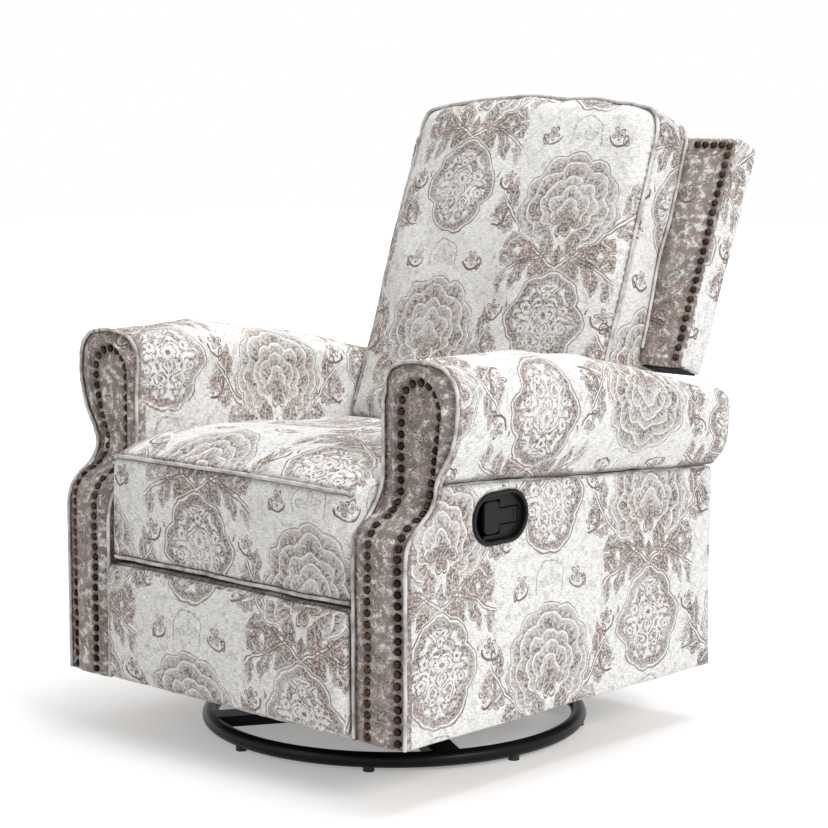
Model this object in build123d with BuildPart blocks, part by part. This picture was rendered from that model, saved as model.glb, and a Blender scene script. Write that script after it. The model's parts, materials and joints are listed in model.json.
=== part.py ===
"""Swivel glider recliner: rolled arms, reclining winged back, lazy-tongs footrest,
hanging glide links and a ring base. Millimetres, +Z up, -Y is the front, +X is the
sitter's left. The origin is on the floor, on the swivel axis."""

import os
from math import atan2, cos, degrees, hypot, pi, radians, sin, sqrt

from build123d import *

os.makedirs("parts", exist_ok=True)

# ---------------------------------------------------------------- ring base
ring_radius = 310.0  # to the tube's centre line
ring_tube_radius = 12.5
foot_radius = 9.0
foot_height = 5.5  # the tube's underside stands this far off the floor
foot_count = 8
foot_start_angle = -9.0
cross_bar_angle = -31.5  # a bar runs halfway between two feet
cross_bar_width = 45.0
cross_bar_thickness = 18.0
cross_bar_lift = 13.0  # its top stands this far over the ring's centre
foot_reach = 4.0  # the feet run this far up round the tube
ring_centre_height = foot_height + ring_tube_radius
cross_bar_top = ring_centre_height + cross_bar_lift

# ------------------------------------------------------------------ swivel
race_radius = 95.0
race_thickness = 6.0
race_bore_clearance = 0.05
thrust_ring_outer = 84.0
thrust_ring_inner = 58.0
thrust_ring_thickness = 5.0
swivel_gap = 0.3
bolt_radius = 8.0
bolt_head_radius = 14.0
bolt_head_height = 5.0
nut_height = 10.0
lower_race_top = cross_bar_top + race_thickness
upper_race_bottom = lower_race_top + thrust_ring_thickness + swivel_gap
upper_race_top = upper_race_bottom + race_thickness

# --------------------------------------------------- glide base and its links
glide_plate_thickness = 4.0
glide_plate_width = 230.0
post_plane = 196.0  # inner face of the upright side plates
post_thickness = 4.0
post_width = 30.0
glide_pivot_top = 228.0
glide_link_length = 118.0
glide_front_pivot = -110.0
glide_rear_pivot = 130.0
glide_link_width = 26.0
glide_link_thickness = 4.0
glide_sill_height = 38.0
tie_width = 34.0
lane_gap = 1.0
glide_plate_top = upper_race_top + glide_plate_thickness
glide_pivot_bottom = glide_pivot_top - glide_link_length
glide_link_plane = post_plane + post_thickness + lane_gap
hanger_plane = glide_link_plane + glide_link_thickness + lane_gap

# ---------------------------------------------------------------- pins
pin_radius = 5.0
running_clearance = 0.05
pin_root = 1.0  # a pin starts this deep in the plate that carries it
open_clearance = 0.5  # at the two pivots where the footrest tongs close
pivot_hole = pin_radius + running_clearance
open_hole = pin_radius + open_clearance

# ---------------------------------------------------------------- the body
body_half_width = 383.0
arm_inner_face = 279.0
body_bottom = 94.0
body_front = -387.0
body_rear = 373.0
facing_thickness = 22.0
roll_front = -322.0  # front of the rolled part of the arm
s_curve_low = 381.0  # the facing starts to lean back here
s_curve_high = 475.0  # and stands upright again here
seam_front_height = 479.0
seam_rear_height = 431.0
arm_edge_radius = 14.0
roll_rear = 371.0
roll_end_radius = 30.0
sill_thickness = 18.0
sill_inset = 6.0
recess_low = 4.0
recess_roll = 12.0
recess_margin = 9.0

# the roll's outline: across from the inner face or over the overhang, and up by shares
roll_shoulder = 0.64
roll_inner_bend = (9.0, 0.89)
roll_inner_top = (34.0, 0.975)
roll_crown = 72.0
roll_outer_top = (0.35, 0.965)
roll_outer_bend = (0.90, 0.82)
roll_outermost = 0.66
roll_under_bend = (0.82, 0.36)
roll_under_end = (0.16, 0.09)
roll_front_top = 659.0
roll_front_outer = 425.0
roll_rear_top = 566.0
roll_outer_rear = 423.0
roll_trim = 5.0
face_overrun = 1.0  # cutters pass the faces they cut by this much

# nails
nail_radius = 5.2
nail_height = 2.4
nail_pitch = 18.0
nail_sides = 6
nail_taper = 32.0
nail_curve_lift = 0.35  # a flat-backed nail on the curved part
nail_inner_row = arm_inner_face + 32.0
nail_outer_row = body_half_width - 13.0
nail_roll_row = body_half_width + 5.0
nail_start_height = body_bottom + 11.0
nail_straight_top = 590.0
nail_loop_top = 628.0
nail_neck_height = 485.0
nail_neck_bow = 9.0  # the row bows out this far as it narrows
nail_neck_rise = 45.0
nail_neck_drop = 15.0

# rails between the arms
rail_thickness = 25.0
rail_height = 40.0
rail_bottom = glide_pivot_bottom + 14.0
front_rail_place = -40.0
rear_rail_place = 275.0
rear_panel_thickness = 23.0
rear_panel_round = 7.0
rear_panel_top = 370.0
panel_clearance = 0.3

# hanger rails carry the lower glide pivots
hanger_thickness = 4.0
hanger_height = 28.0
hanger_flange = 26.0
hanger_front = -128.0

# handle let into the left arm
handle_centre_y = -173.0
handle_centre_z = 415.0
handle_length = 118.0
handle_height = 73.0
handle_depth = 27.0
handle_wall = 2.5
handle_rim = 5.0
handle_rim_stand = 3.0
paddle_pivot_y = -134.0
paddle_pivot_depth = 9.0
paddle_thickness = 7.0
paddle_corner = 8.0
paddle_heel = 18.0
paddle_heel_shift = 4.0
hinge_pin_radius = 2.0
handle_rim_taper = 25.0
paddle_hub_radius = 6.0
paddle_blade_length = 34.0
paddle_blade_height = 50.0
paddle_stem_height = 24.0
finger_gap = 27.0
paddle_pivot_x = body_half_width - paddle_pivot_depth
cable_radius = 2.5
cable_bore_clearance = 0.3

# ------------------------------------------------------------- link lanes
link_thickness = 4.0
mech_plate_plane = arm_inner_face - 3.5
carrier_plane = mech_plate_plane - lane_gap - link_thickness
seat_rail_plane = carrier_plane - lane_gap - link_thickness
drive_plane = seat_rail_plane - lane_gap - link_thickness
long_plane = drive_plane - lane_gap - link_thickness
front_plane = long_plane - lane_gap - link_thickness
short_plane = front_plane - lane_gap - link_thickness

# ------------------------------------------------------------------ footrest
tong_angle = 30.0  # the long links keep this rise the whole way
drive_stowed_angle = 232.0
drive_pivot = (-182.0, 243.0)  # (y, z) on the seat rail
drive_length = 168.0
pivot_spacing = 105.0
long_length = 292.0
front_overhang = 72.0
link_width = 21.0
plate_margin = 26.0
plate_bottom = 165.0
plate_top = 235.0
plate_corner = 12.0
bracket_tab = 10.0
bracket_flange_thickness = 3.0
footrest_pad_round = 3.0
footrest_pad_bulge = 2.0
footrest_pad_draw = 4.0
torque_tube_radius = 10.0
torque_tube_wall = 2.0
footrest_half_width = 276.0
footrest_bottom = 98.0
footrest_top = 289.0
footrest_board_rear = -343.0
footrest_board_thickness = 12.0
footrest_board_inset = 6.0
footrest_pad_edge = 38.0
footrest_pad_crown = 48.0

# ---------------------------------------------------------------- seat
seat_rail_height = 30.0
seat_rail_centre = 285.0
carrier_length = 105.0
carrier_lean = 12.0
carrier_front = -60.0
carrier_rear = 170.0
back_pivot = (240.0, seat_rail_centre)
seat_tube_radius = 11.0
seat_tube_wall = 2.0
seat_front_tube = -235.0
seat_rear_tube = 198.0
seat_board_front = -351.0
seat_board_thickness = 20.0
seat_board_top = 372.0
seat_half_width = 277.0
seat_front = -383.0
seat_border_bottom = 293.0
seat_cushion_bottom = 312.0
seat_rear = 165.0
spring_count = 5
spring_pitch = 88.0
spring_wire = 3.6
spring_loops = 6
spring_loop_width = 44.0
spring_bend = 0.42
border_front_edge = 462.0
seat_side_bulge = 5.0
seat_edge_radius = 12.0
soft_clearance = 0.3
board_foot_gap = 26.0
bracket_flange = 16.0

# ------------------------------------------------------------------ back
back_tilt = 19.5
back_plane_foot = 103.3  # where the wing's front plane meets the floor, in Y
shell_thickness = 60.0
shell_bottom = 361.0
wing_bottom = 635.5
wing_top = 1034.0
wing_half_bottom = 354.0
wing_half_top = wing_half_bottom + 13.0
wing_corner = 12.0
shell_wall = 14.0
frame_clearance = 0.3
back_nail_inset = 15.0
cushion_bottom = 473.0
cushion_corner_top = 1054.0
cushion_crown_top = 1074.0
cushion_half_width = 277.0
cushion_corner_radius = 40.0
cushion_edge_depth = 93.0
cushion_crown_depth = 112.0
bracket_width = 28.0
bracket_reach = 250.0
bracket_offset = 30.0
dust_cover_thickness = 3.0
dust_cover_inset = 8.0
frame_rail = 40.0
cushion_side_bulge = 6.0
cushion_top_draw = 5.0
bracket_low_bolt = 25.0
top_nail_pitch = 22.0


def both_sides():
    """The chair's two sides: a name and the sign of X."""
    return (("left", 1), ("right", -1))


def lane(side, inner_face, thickness):
    """The plane whose +X extrusion of `thickness` fills a lane on one side."""
    return Plane.YZ.offset(inner_face if side > 0 else -inner_face - thickness)


def polar(start, length, angle):
    """A point on the side view at an angle measured from straight ahead."""
    return (
        start[0] - length * cos(radians(angle)),
        start[1] + length * sin(radians(angle)),
    )


def link(side, plane, start, end, width, thickness=link_thickness, holes=(), pins=()):
    """A flat bar with round ends. holes: (point, radius). pins: (point, |x| where it ends)."""
    middle = ((start[0] + end[0]) / 2, (start[1] + end[1]) / 2)
    run = hypot(end[0] - start[0], end[1] - start[1])
    turn = degrees(atan2(end[1] - start[1], end[0] - start[0]))
    with BuildPart() as bar:
        with BuildSketch(lane(side, plane, thickness)):
            with Locations(middle):
                SlotCenterToCenter(run, width, rotation=turn)
            for point, radius in holes:
                with Locations(point):
                    Circle(radius, mode=Mode.SUBTRACT)
        extrude(amount=thickness)
        for point, reach in pins:
            inner, outer = min(reach, plane + 1), max(reach, plane + thickness - 1)
            with BuildSketch(lane(side, inner, outer - inner)):
                with Locations(point):
                    Circle(pin_radius)
            extrude(amount=outer - inner)
    return bar.part


def save(part, name):
    part.label = name
    export_step(part, f"parts/{name}.step")


def s_curve_y(height, low_y, high_y):
    """Y of an arm front that leans back in two equal arcs between its two heights."""
    rise, step = s_curve_high - s_curve_low, high_y - low_y
    radius = (rise**2 + step**2) / (4 * step)
    if height <= s_curve_low:
        return low_y
    if height >= s_curve_high:
        return high_y
    if height <= (s_curve_low + s_curve_high) / 2:
        return low_y + radius - sqrt(radius**2 - (height - s_curve_low) ** 2)
    return high_y - radius + sqrt(radius**2 - (s_curve_high - height) ** 2)


def s_curve_profile(low_y, high_y, rear_y, bottom, top):
    """Side outline of all that lies behind an arm front's S-shaped face."""
    middle = ((low_y + high_y) / 2, (s_curve_low + s_curve_high) / 2)
    with BuildSketch(Plane.YZ, mode=Mode.PRIVATE) as outline:
        with BuildLine():
            foot = Line((low_y, bottom), (low_y, s_curve_low))
            lean = TangentArc(foot @ 1, middle, tangent=(0, 1))
            rise = TangentArc(lean @ 1, (high_y, s_curve_high), tangent=lean % 1)
            Polyline(rise @ 1, (high_y, top), (rear_y, top), (rear_y, bottom), foot @ 0)
        make_face()
    return outline.sketch


def seam_height(y):
    """Height of the seam under the arm's roll."""
    share = (y - (roll_front + facing_thickness)) / (body_rear - (roll_front + facing_thickness))
    return seam_front_height + share * (seam_rear_height - seam_front_height)


# ================================================================ ring base
with BuildPart() as base_ring:
    with BuildSketch(Plane.XZ):
        with Locations((ring_radius, ring_centre_height)):
            Circle(ring_tube_radius)
    revolve(axis=Axis.Z)
save(base_ring.part, "base_ring")

with BuildPart() as cross_bars:
    with BuildSketch(Plane.XY.offset(cross_bar_top - cross_bar_thickness)):
        Rectangle(2 * ring_radius, cross_bar_width, rotation=cross_bar_angle)
        Rectangle(2 * ring_radius, cross_bar_width, rotation=cross_bar_angle + 90)
        Circle(bolt_radius, mode=Mode.SUBTRACT)
    extrude(amount=cross_bar_thickness)
    add(base_ring.part, mode=Mode.SUBTRACT)
save(cross_bars.part, "cross_bars")

with BuildPart() as base_feet:
    with BuildSketch(Plane.XY):
        with PolarLocations(ring_radius, foot_count, start_angle=foot_start_angle):
            Circle(foot_radius)
    extrude(amount=foot_height + foot_reach)
    add(base_ring.part, mode=Mode.SUBTRACT)
save(base_feet.part, "base_feet")

# ================================================================== swivel
with BuildPart() as lower_race:
    with BuildSketch(Plane.XY.offset(cross_bar_top)):
        Circle(race_radius)
        Circle(bolt_radius, mode=Mode.SUBTRACT)
    extrude(amount=race_thickness)
save(lower_race.part, "lower_race")

with BuildPart() as thrust_ring:
    with BuildSketch(Plane.XY.offset(lower_race_top)):
        Circle(thrust_ring_outer)
        Circle(thrust_ring_inner, mode=Mode.SUBTRACT)
    extrude(amount=thrust_ring_thickness)
save(thrust_ring.part, "thrust_ring")

with BuildPart() as upper_race:
    with BuildSketch(Plane.XY.offset(upper_race_bottom)):
        Circle(race_radius)
        Circle(bolt_radius + race_bore_clearance, mode=Mode.SUBTRACT)
    extrude(amount=race_thickness)
save(upper_race.part, "upper_race")

nut_bottom = glide_plate_top + swivel_gap
with BuildPart() as swivel_bolt:
    with BuildSketch(Plane.XY.offset(cross_bar_top - cross_bar_thickness - bolt_head_height)):
        RegularPolygon(bolt_head_radius, 6)
    extrude(amount=bolt_head_height)
    with BuildSketch(Plane.XY.offset(cross_bar_top - cross_bar_thickness)):
        Circle(bolt_radius)
    extrude(amount=nut_bottom - cross_bar_top + cross_bar_thickness)
    with BuildSketch(Plane.XY.offset(nut_bottom)):
        RegularPolygon(bolt_head_radius, 6)
    extrude(amount=nut_height)
save(swivel_bolt.part, "swivel_bolt")

# ============================================================== glide base
glide_span = glide_rear_pivot - glide_front_pivot
glide_middle = (glide_rear_pivot + glide_front_pivot) / 2
glide_sill_top = glide_plate_top + glide_sill_height
with BuildPart() as glide_base:
    with BuildSketch(Plane.XY.offset(upper_race_top)):
        with Locations((0, glide_middle)):
            Rectangle(glide_plate_width, glide_span)
        with Locations((0, glide_front_pivot), (0, glide_rear_pivot)):
            Rectangle(2 * post_plane, tie_width)
        Circle(bolt_radius + race_bore_clearance, mode=Mode.SUBTRACT)
    extrude(amount=glide_plate_thickness)
    for side in (1, -1):
        with BuildSketch(lane(side, post_plane, post_thickness)):
            with Locations((glide_middle, upper_race_top + glide_sill_height / 2)):
                Rectangle(glide_span + post_width, glide_sill_height)
            for pivot_y in (glide_front_pivot, glide_rear_pivot):
                with Locations((pivot_y, (upper_race_top + glide_pivot_top) / 2)):
                    Rectangle(post_width, glide_pivot_top - upper_race_top)
                with Locations((pivot_y, glide_pivot_top)):
                    Circle(post_width / 2)
        extrude(amount=post_thickness)
        with BuildSketch(lane(side, post_plane + pin_root, hanger_plane - lane_gap - post_plane - pin_root)):
            with Locations((glide_front_pivot, glide_pivot_top), (glide_rear_pivot, glide_pivot_top)):
                Circle(pin_radius)
        extrude(amount=hanger_plane - lane_gap - post_plane - pin_root)
save(glide_base.part, "glide_base")

for side_name, side in both_sides():
    for end_name, pivot_y in (("front", glide_front_pivot), ("rear", glide_rear_pivot)):
        top, bottom = (pivot_y, glide_pivot_top), (pivot_y, glide_pivot_bottom)
        glide_link = link(
            side, glide_link_plane, bottom, top, glide_link_width, glide_link_thickness,
            holes=((top, pivot_hole), (bottom, pivot_hole)),
        )
        save(glide_link, f"glide_link_{end_name}_{side_name}")

# ======================================================== rails of the chassis
hanger_rear = rear_rail_place + rail_thickness / 2
for side_name, side in both_sides():
    with BuildPart() as hanger_rail:
        with BuildSketch(lane(side, hanger_plane, hanger_thickness)):
            with Locations(((hanger_front + hanger_rear) / 2, rail_bottom - hanger_height / 2)):
                Rectangle(hanger_rear - hanger_front, hanger_height)
        extrude(amount=hanger_thickness)
        with BuildSketch(lane(side, hanger_plane, hanger_flange)):
            with Locations(((hanger_front + hanger_rear) / 2, rail_bottom - hanger_thickness / 2)):
                Rectangle(hanger_rear - hanger_front, hanger_thickness)
        extrude(amount=hanger_flange)
        with BuildSketch(lane(side, glide_link_plane, hanger_plane - glide_link_plane + pin_root)):
            with Locations((glide_front_pivot, glide_pivot_bottom), (glide_rear_pivot, glide_pivot_bottom)):
                Circle(pin_radius)
        extrude(amount=hanger_plane - glide_link_plane + pin_root)
    save(hanger_rail.part, f"hanger_rail_{side_name}")

for rail_name, rail_place in (("front_rail", front_rail_place), ("rear_rail", rear_rail_place)):
    with BuildPart() as rail:
        with BuildSketch(Plane.XY.offset(rail_bottom)):
            with Locations((0, rail_place)):
                Rectangle(2 * arm_inner_face, rail_thickness)
        extrude(amount=rail_height)
    save(rail.part, rail_name)

with BuildPart() as rear_panel:
    with BuildSketch(Plane.XY.offset(body_bottom)):
        with Locations((0, body_rear - rear_panel_thickness / 2)):
            Rectangle(2 * (arm_inner_face - panel_clearance), rear_panel_thickness)
    extrude(amount=rear_panel_top - body_bottom)
    fillet(rear_panel.faces().sort_by(Axis.Y)[-1].edges().filter_by(Axis.X), rear_panel_round)
save(rear_panel.part, "rear_panel")

# ==================================================================== arms
cable_route = (
    (body_half_width - handle_depth, -161.0, 403.0),
    (330.0, -161.0, 403.0),
    (314.0, -156.0, 370.0),
    (309.0, -143.0, 325.0),
    (307.0, -128.0, 280.0),
    (304.0, -116.0, 242.0),
    (299.0, -110.0, 216.0),
    (arm_inner_face, -110.0, 216.0),
)


def cable_path():
    """Straight runs joined by arcs, each as large as its two runs allow."""
    points = [Vector(*point) for point in cable_route]
    radii = []
    for before, here, after in zip(points, points[1:], points[2:]):
        turn = radians((here - before).get_angle(after - here))
        shorter = min((here - before).length, (after - here).length)
        radii.append(0.45 * shorter * cos(turn / 2) / sin(turn / 2))
    print("cable arc radii:", [round(radius) for radius in radii])
    with BuildLine() as path:
        FilletPolyline(*points, radius=radii)
    return path.wire()


def sweep_cable(radius):
    """The cable's round section, or its bore, along the route in the arm."""
    path = cable_path()
    with BuildPart() as tube:
        with BuildSketch(Plane(path @ 0, z_dir=path % 0)):
            Circle(radius)
        sweep(path=path)
    swept = tube.part.volume / (pi * radius**2 * path.length)
    print("cable volume over section times length:", swept)
    return tube.part


def draw_roll(station_y, top, outer, foot):
    """Front view of the arm at one station: up the inner face, over the roll, down to foot."""
    seam = seam_height(station_y)
    height = top - seam
    reach = outer - body_half_width
    shoulder = (arm_inner_face, seam + roll_shoulder * height)
    inner_bend, inner_top = (
        (arm_inner_face + across, seam + up * height) for across, up in (roll_inner_bend, roll_inner_top)
    )
    crown = (arm_inner_face + roll_crown, top)
    outer_top, outer_bend, under_bend, under_end = (
        (body_half_width + across * reach, seam + up * height)
        for across, up in (roll_outer_top, roll_outer_bend, roll_under_bend, roll_under_end)
    )
    outermost = (outer, seam + roll_outermost * height)
    inner = Line((arm_inner_face, foot), shoulder)
    ThreePointArc(shoulder, inner_bend, inner_top)
    ThreePointArc(inner_top, crown, outer_top)
    ThreePointArc(outer_top, outer_bend, outermost)
    ThreePointArc(outermost, under_bend, under_end)
    tail = Line(under_end, (body_half_width, seam))
    if foot < seam:
        Polyline(tail @ 1, (body_half_width, foot), inner @ 0)
    else:
        Line(tail @ 1, inner @ 0)


facing_back = roll_front + facing_thickness
roll_stations = (
    (facing_back, roll_front_top, roll_front_outer),
    (-110.0, 661.0, 427.0),
    (110.0, 626.0, 427.0),
    (roll_rear, roll_rear_top, roll_outer_rear),
)

with BuildPart() as arm_roll:
    for station_y, station_top, station_outer in roll_stations:
        with BuildSketch(Plane.XZ.offset(-station_y)):
            with BuildLine():
                draw_roll(station_y, station_top, station_outer, seam_height(station_y))
            make_face()
    loft(ruled=True)
    with BuildSketch(Plane.XY.offset(seam_rear_height)):
        with Locations(((arm_inner_face + roll_outer_rear) / 2, (facing_back + roll_rear) / 2)):
            Rectangle(roll_outer_rear - arm_inner_face + 2 * roll_trim, roll_rear - facing_back)
        fillet(vertices().group_by(Axis.Y)[-1], roll_end_radius)
    extrude(amount=roll_front_top, mode=Mode.INTERSECT)
    with BuildSketch(Plane.YZ):
        with BuildLine():
            Polyline(
                (facing_back, seam_rear_height),
                (roll_rear, seam_rear_height),
                (roll_rear, roll_rear_top),
                (facing_back, 2 * roll_front_top - roll_rear_top),
                close=True,
            )
        end_face = make_face()
        fillet(end_face.vertices().group_by(Axis.X)[-1].sort_by(Axis.Y)[-1], roll_end_radius)
    extrude(amount=2 * body_half_width, mode=Mode.INTERSECT)

sill_width = body_half_width - arm_inner_face - 2 * sill_inset
sill_front = body_front + facing_thickness + sill_inset
sill_rear = body_rear - arm_edge_radius - sill_inset
with BuildPart() as arm_sill:
    with BuildSketch(Plane.XY.offset(body_bottom)):
        with Locations(((arm_inner_face + body_half_width) / 2, (sill_front + sill_rear) / 2)):
            Rectangle(sill_width, sill_rear - sill_front)
    extrude(amount=sill_thickness)

with BuildPart() as arm_panel:
    with BuildSketch(Plane.XY.offset(body_bottom)):
        with Locations(((arm_inner_face + body_half_width) / 2, (body_front + body_rear) / 2)):
            Rectangle(body_half_width - arm_inner_face, body_rear - body_front)
    extrude(amount=seam_front_height - body_bottom)
    extrude(
        s_curve_profile(
            body_front + facing_thickness, facing_back, body_rear, body_bottom, seam_front_height
        ),
        amount=2 * body_half_width,
        mode=Mode.INTERSECT,
    )
    with BuildSketch(Plane.YZ):
        Polygon(
            (facing_back, seam_front_height),
            (body_rear, seam_rear_height),
            (body_rear, seam_front_height),
            align=None,
        )
    extrude(amount=2 * body_half_width, mode=Mode.SUBTRACT)
    fillet(arm_panel.faces().sort_by(Axis.Y)[-1].edges().filter_by(Axis.Z), arm_edge_radius)
    add(arm_sill.part, mode=Mode.SUBTRACT)

with BuildPart() as arm_facing:
    with BuildSketch(Plane.XZ.offset(-facing_back)):
        with BuildLine():
            draw_roll(facing_back, roll_front_top, roll_front_outer, body_bottom)
        make_face()
    extrude(amount=facing_back - body_front)
    extrude(
        s_curve_profile(
            body_front, roll_front, facing_back + face_overrun, body_bottom, roll_front_top + face_overrun
        ),
        amount=2 * body_half_width,
        mode=Mode.INTERSECT,
    )
    extrude(
        s_curve_profile(
            body_front + facing_thickness,
            facing_back,
            facing_back + 2 * face_overrun,
            body_bottom - face_overrun,
            roll_front_top + 2 * face_overrun,
        ),
        amount=2 * body_half_width,
        mode=Mode.SUBTRACT,
    )


def nail_line():
    """The path of an arm's nails on the front view: up, over the roll and down."""
    middle = (nail_inner_row + nail_roll_row) / 2
    with BuildLine(Plane.XY) as path:
        rise = Line((nail_inner_row, nail_start_height), (nail_inner_row, nail_straight_top))
        loop = ThreePointArc(rise @ 1, (middle, nail_loop_top), (nail_roll_row, nail_straight_top))
        neck = Spline(
            loop @ 1,
            (nail_outer_row + nail_neck_bow, nail_neck_height + nail_neck_rise),
            (nail_outer_row, nail_neck_height - nail_neck_drop),
            tangents=((0, -1), (0, -1)),
        )
        Line(neck @ 1, (nail_outer_row, nail_start_height))
    return path.wire()


def recess_y(height):
    """Y of the sunk strip in an arm's facing, where the nails stand."""
    return s_curve_y(height, body_front + recess_low, roll_front + recess_roll)


# the strip between the nails is sunk into the facing, and its rim stays proud
recess_middle = (nail_inner_row + nail_roll_row) / 2
with BuildPart() as recess:
    with BuildSketch(Plane.XZ.offset(-facing_back)):
        with BuildLine():
            recess_rise = Line(
                (nail_inner_row - recess_margin, body_bottom - face_overrun),
                (nail_inner_row - recess_margin, nail_straight_top),
            )
            recess_loop = ThreePointArc(
                recess_rise @ 1,
                (recess_middle, nail_loop_top + recess_margin),
                (nail_roll_row + recess_margin, nail_straight_top),
            )
            recess_neck = Spline(
                recess_loop @ 1,
                (nail_outer_row + nail_neck_bow + recess_margin, nail_neck_height + nail_neck_rise),
                (nail_outer_row + recess_margin, nail_neck_height - nail_neck_drop),
                tangents=((0, -1), (0, -1)),
            )
            recess_foot = (nail_outer_row + recess_margin, body_bottom - face_overrun)
            Polyline(recess_neck @ 1, recess_foot, recess_rise @ 0)
        make_face()
    extrude(amount=facing_back - body_front)
    extrude(
        s_curve_profile(
            body_front + recess_low,
            roll_front + recess_roll,
            facing_back + face_overrun,
            body_bottom - 2 * face_overrun,
            roll_front_top,
        ),
        amount=2 * body_half_width,
        mode=Mode.SUBTRACT,
    )

with BuildPart() as facing_left:
    add(arm_facing.part)
    add(recess.part, mode=Mode.SUBTRACT)

nail_path = nail_line()
nail_gaps = round(nail_path.length / nail_pitch)
nail_planes = []
for index in range(nail_gaps + 1):
    spot = nail_path @ (index / nail_gaps)
    slope = (recess_y(spot.Y + 1) - recess_y(spot.Y - 1)) / 2
    on_curve = s_curve_low < spot.Y < s_curve_high + nail_radius
    seat_y = recess_y(spot.Y) - (nail_curve_lift if on_curve else 0)
    nail_planes.append(Plane((spot.X, seat_y, spot.Y), x_dir=(1, 0, 0), z_dir=(0, -1, slope)))
with BuildPart() as nails_left:
    with BuildSketch(*nail_planes):
        RegularPolygon(nail_radius, nail_sides)
    extrude(amount=nail_height, taper=nail_taper)

# the left arm holds the pull handle and its cable
with BuildPart() as panel_left:
    add(arm_panel.part)
    with BuildSketch(Plane.YZ.offset(body_half_width - handle_depth)):
        with Locations((handle_centre_y, handle_centre_z)):
            SlotOverall(handle_length, handle_height)
    extrude(amount=handle_depth, mode=Mode.SUBTRACT)
    add(sweep_cable(cable_radius + cable_bore_clearance), mode=Mode.SUBTRACT)

with BuildPart() as release_cable:
    add(sweep_cable(cable_radius))
save(release_cable.part, "release_cable")

round_end_y = handle_centre_y + (handle_length - handle_height) / 2
hinge_pin_reach = sqrt(((handle_height - handle_wall) / 2) ** 2 - (paddle_pivot_y - round_end_y) ** 2)
with BuildPart() as handle_bezel:
    with BuildSketch(Plane.YZ.offset(body_half_width - handle_depth)):
        with Locations((handle_centre_y, handle_centre_z)):
            SlotOverall(handle_length, handle_height)
    extrude(amount=handle_depth)
    with BuildSketch(Plane.YZ.offset(body_half_width)):
        with Locations((handle_centre_y, handle_centre_z)):
            SlotOverall(handle_length + 2 * handle_rim, handle_height + 2 * handle_rim)
    extrude(amount=handle_rim_stand, taper=handle_rim_taper)
    with BuildSketch(Plane.YZ.offset(body_half_width - handle_depth + handle_wall)):
        with Locations((handle_centre_y, handle_centre_z)):
            SlotOverall(handle_length - 2 * handle_wall, handle_height - 2 * handle_wall)
    extrude(amount=handle_depth + handle_rim_stand, mode=Mode.SUBTRACT)
    with BuildSketch(Plane.XY.offset(handle_centre_z - hinge_pin_reach)):
        with Locations((paddle_pivot_x, paddle_pivot_y)):
            Circle(hinge_pin_radius)
    extrude(amount=2 * hinge_pin_reach)
save(handle_bezel.part, "handle_bezel")

paddle_front = handle_centre_y - handle_length / 2 + handle_wall + finger_gap
with BuildPart() as pull_paddle:
    with BuildSketch(Plane.YZ.offset(paddle_pivot_x - paddle_thickness / 2)):
        with Locations((paddle_front + paddle_blade_length / 2, handle_centre_z)):
            RectangleRounded(paddle_blade_length, paddle_blade_height, paddle_corner)
        with Locations(((paddle_front + paddle_pivot_y) / 2, handle_centre_z)):
            Rectangle(paddle_pivot_y - paddle_front - paddle_corner, paddle_stem_height)
        with Locations((paddle_pivot_y - paddle_heel_shift, handle_centre_z)):
            Rectangle(paddle_heel, paddle_stem_height)
    extrude(amount=paddle_thickness)
    with BuildSketch(Plane.XY.offset(handle_centre_z - paddle_stem_height / 2)):
        with Locations((paddle_pivot_x, paddle_pivot_y)):
            Circle(paddle_hub_radius)
    extrude(amount=paddle_stem_height)
    with BuildSketch(Plane.XY.offset(handle_centre_z - paddle_stem_height)):
        with Locations((paddle_pivot_x, paddle_pivot_y)):
            Circle(hinge_pin_radius + running_clearance)
    extrude(amount=2 * paddle_stem_height, mode=Mode.SUBTRACT)
save(pull_paddle.part, "pull_paddle")

left_arm = {
    "arm_roll": arm_roll.part,
    "arm_sill": arm_sill.part,
    "arm_facing": facing_left.part,
    "arm_nails": nails_left.part,
}
for piece_name, piece in left_arm.items():
    with BuildPart() as right_piece:
        mirror(piece, about=Plane.YZ)
    save(piece, f"{piece_name}_left")
    save(right_piece.part, f"{piece_name}_right")
with BuildPart() as panel_right:
    mirror(arm_panel.part, about=Plane.YZ)
save(panel_left.part, "arm_panel_left")
save(panel_right.part, "arm_panel_right")

# =========================================================== seat mechanism
carrier_sine, carrier_cosine = sin(radians(carrier_lean)), cos(radians(carrier_lean))
carrier_tops = {"front": (carrier_front, seat_rail_centre), "rear": (carrier_rear, seat_rail_centre)}
carrier_feet = {
    end_name: (top[0] - carrier_length * carrier_sine, top[1] - carrier_length * carrier_cosine)
    for end_name, top in carrier_tops.items()
}
for side_name, side in both_sides():
    with BuildPart() as mech_plate:
        plate_front = carrier_feet["front"][0] - 2 * plate_margin
        plate_rear = carrier_feet["rear"][0] + plate_margin
        with BuildSketch(lane(side, mech_plate_plane, arm_inner_face - mech_plate_plane)):
            with Locations(((plate_front + plate_rear) / 2, (plate_bottom + plate_top) / 2)):
                RectangleRounded(plate_rear - plate_front, plate_top - plate_bottom, plate_corner)
        extrude(amount=arm_inner_face - mech_plate_plane)
        with BuildSketch(lane(side, carrier_plane, mech_plate_plane - carrier_plane + pin_root)):
            with Locations(*carrier_feet.values()):
                Circle(pin_radius)
        extrude(amount=mech_plate_plane - carrier_plane + pin_root)
    save(mech_plate.part, f"mech_plate_{side_name}")

for end_name, top in carrier_tops.items():
    foot = carrier_feet[end_name]
    with BuildPart() as seat_carriers:
        for side_name, side in both_sides():
            add(
                link(
                    side, carrier_plane, foot, top, link_width,
                    holes=((top, pivot_hole), (foot, pivot_hole)),
                )
            )
    save(seat_carriers.part, f"seat_carriers_{end_name}")

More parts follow.
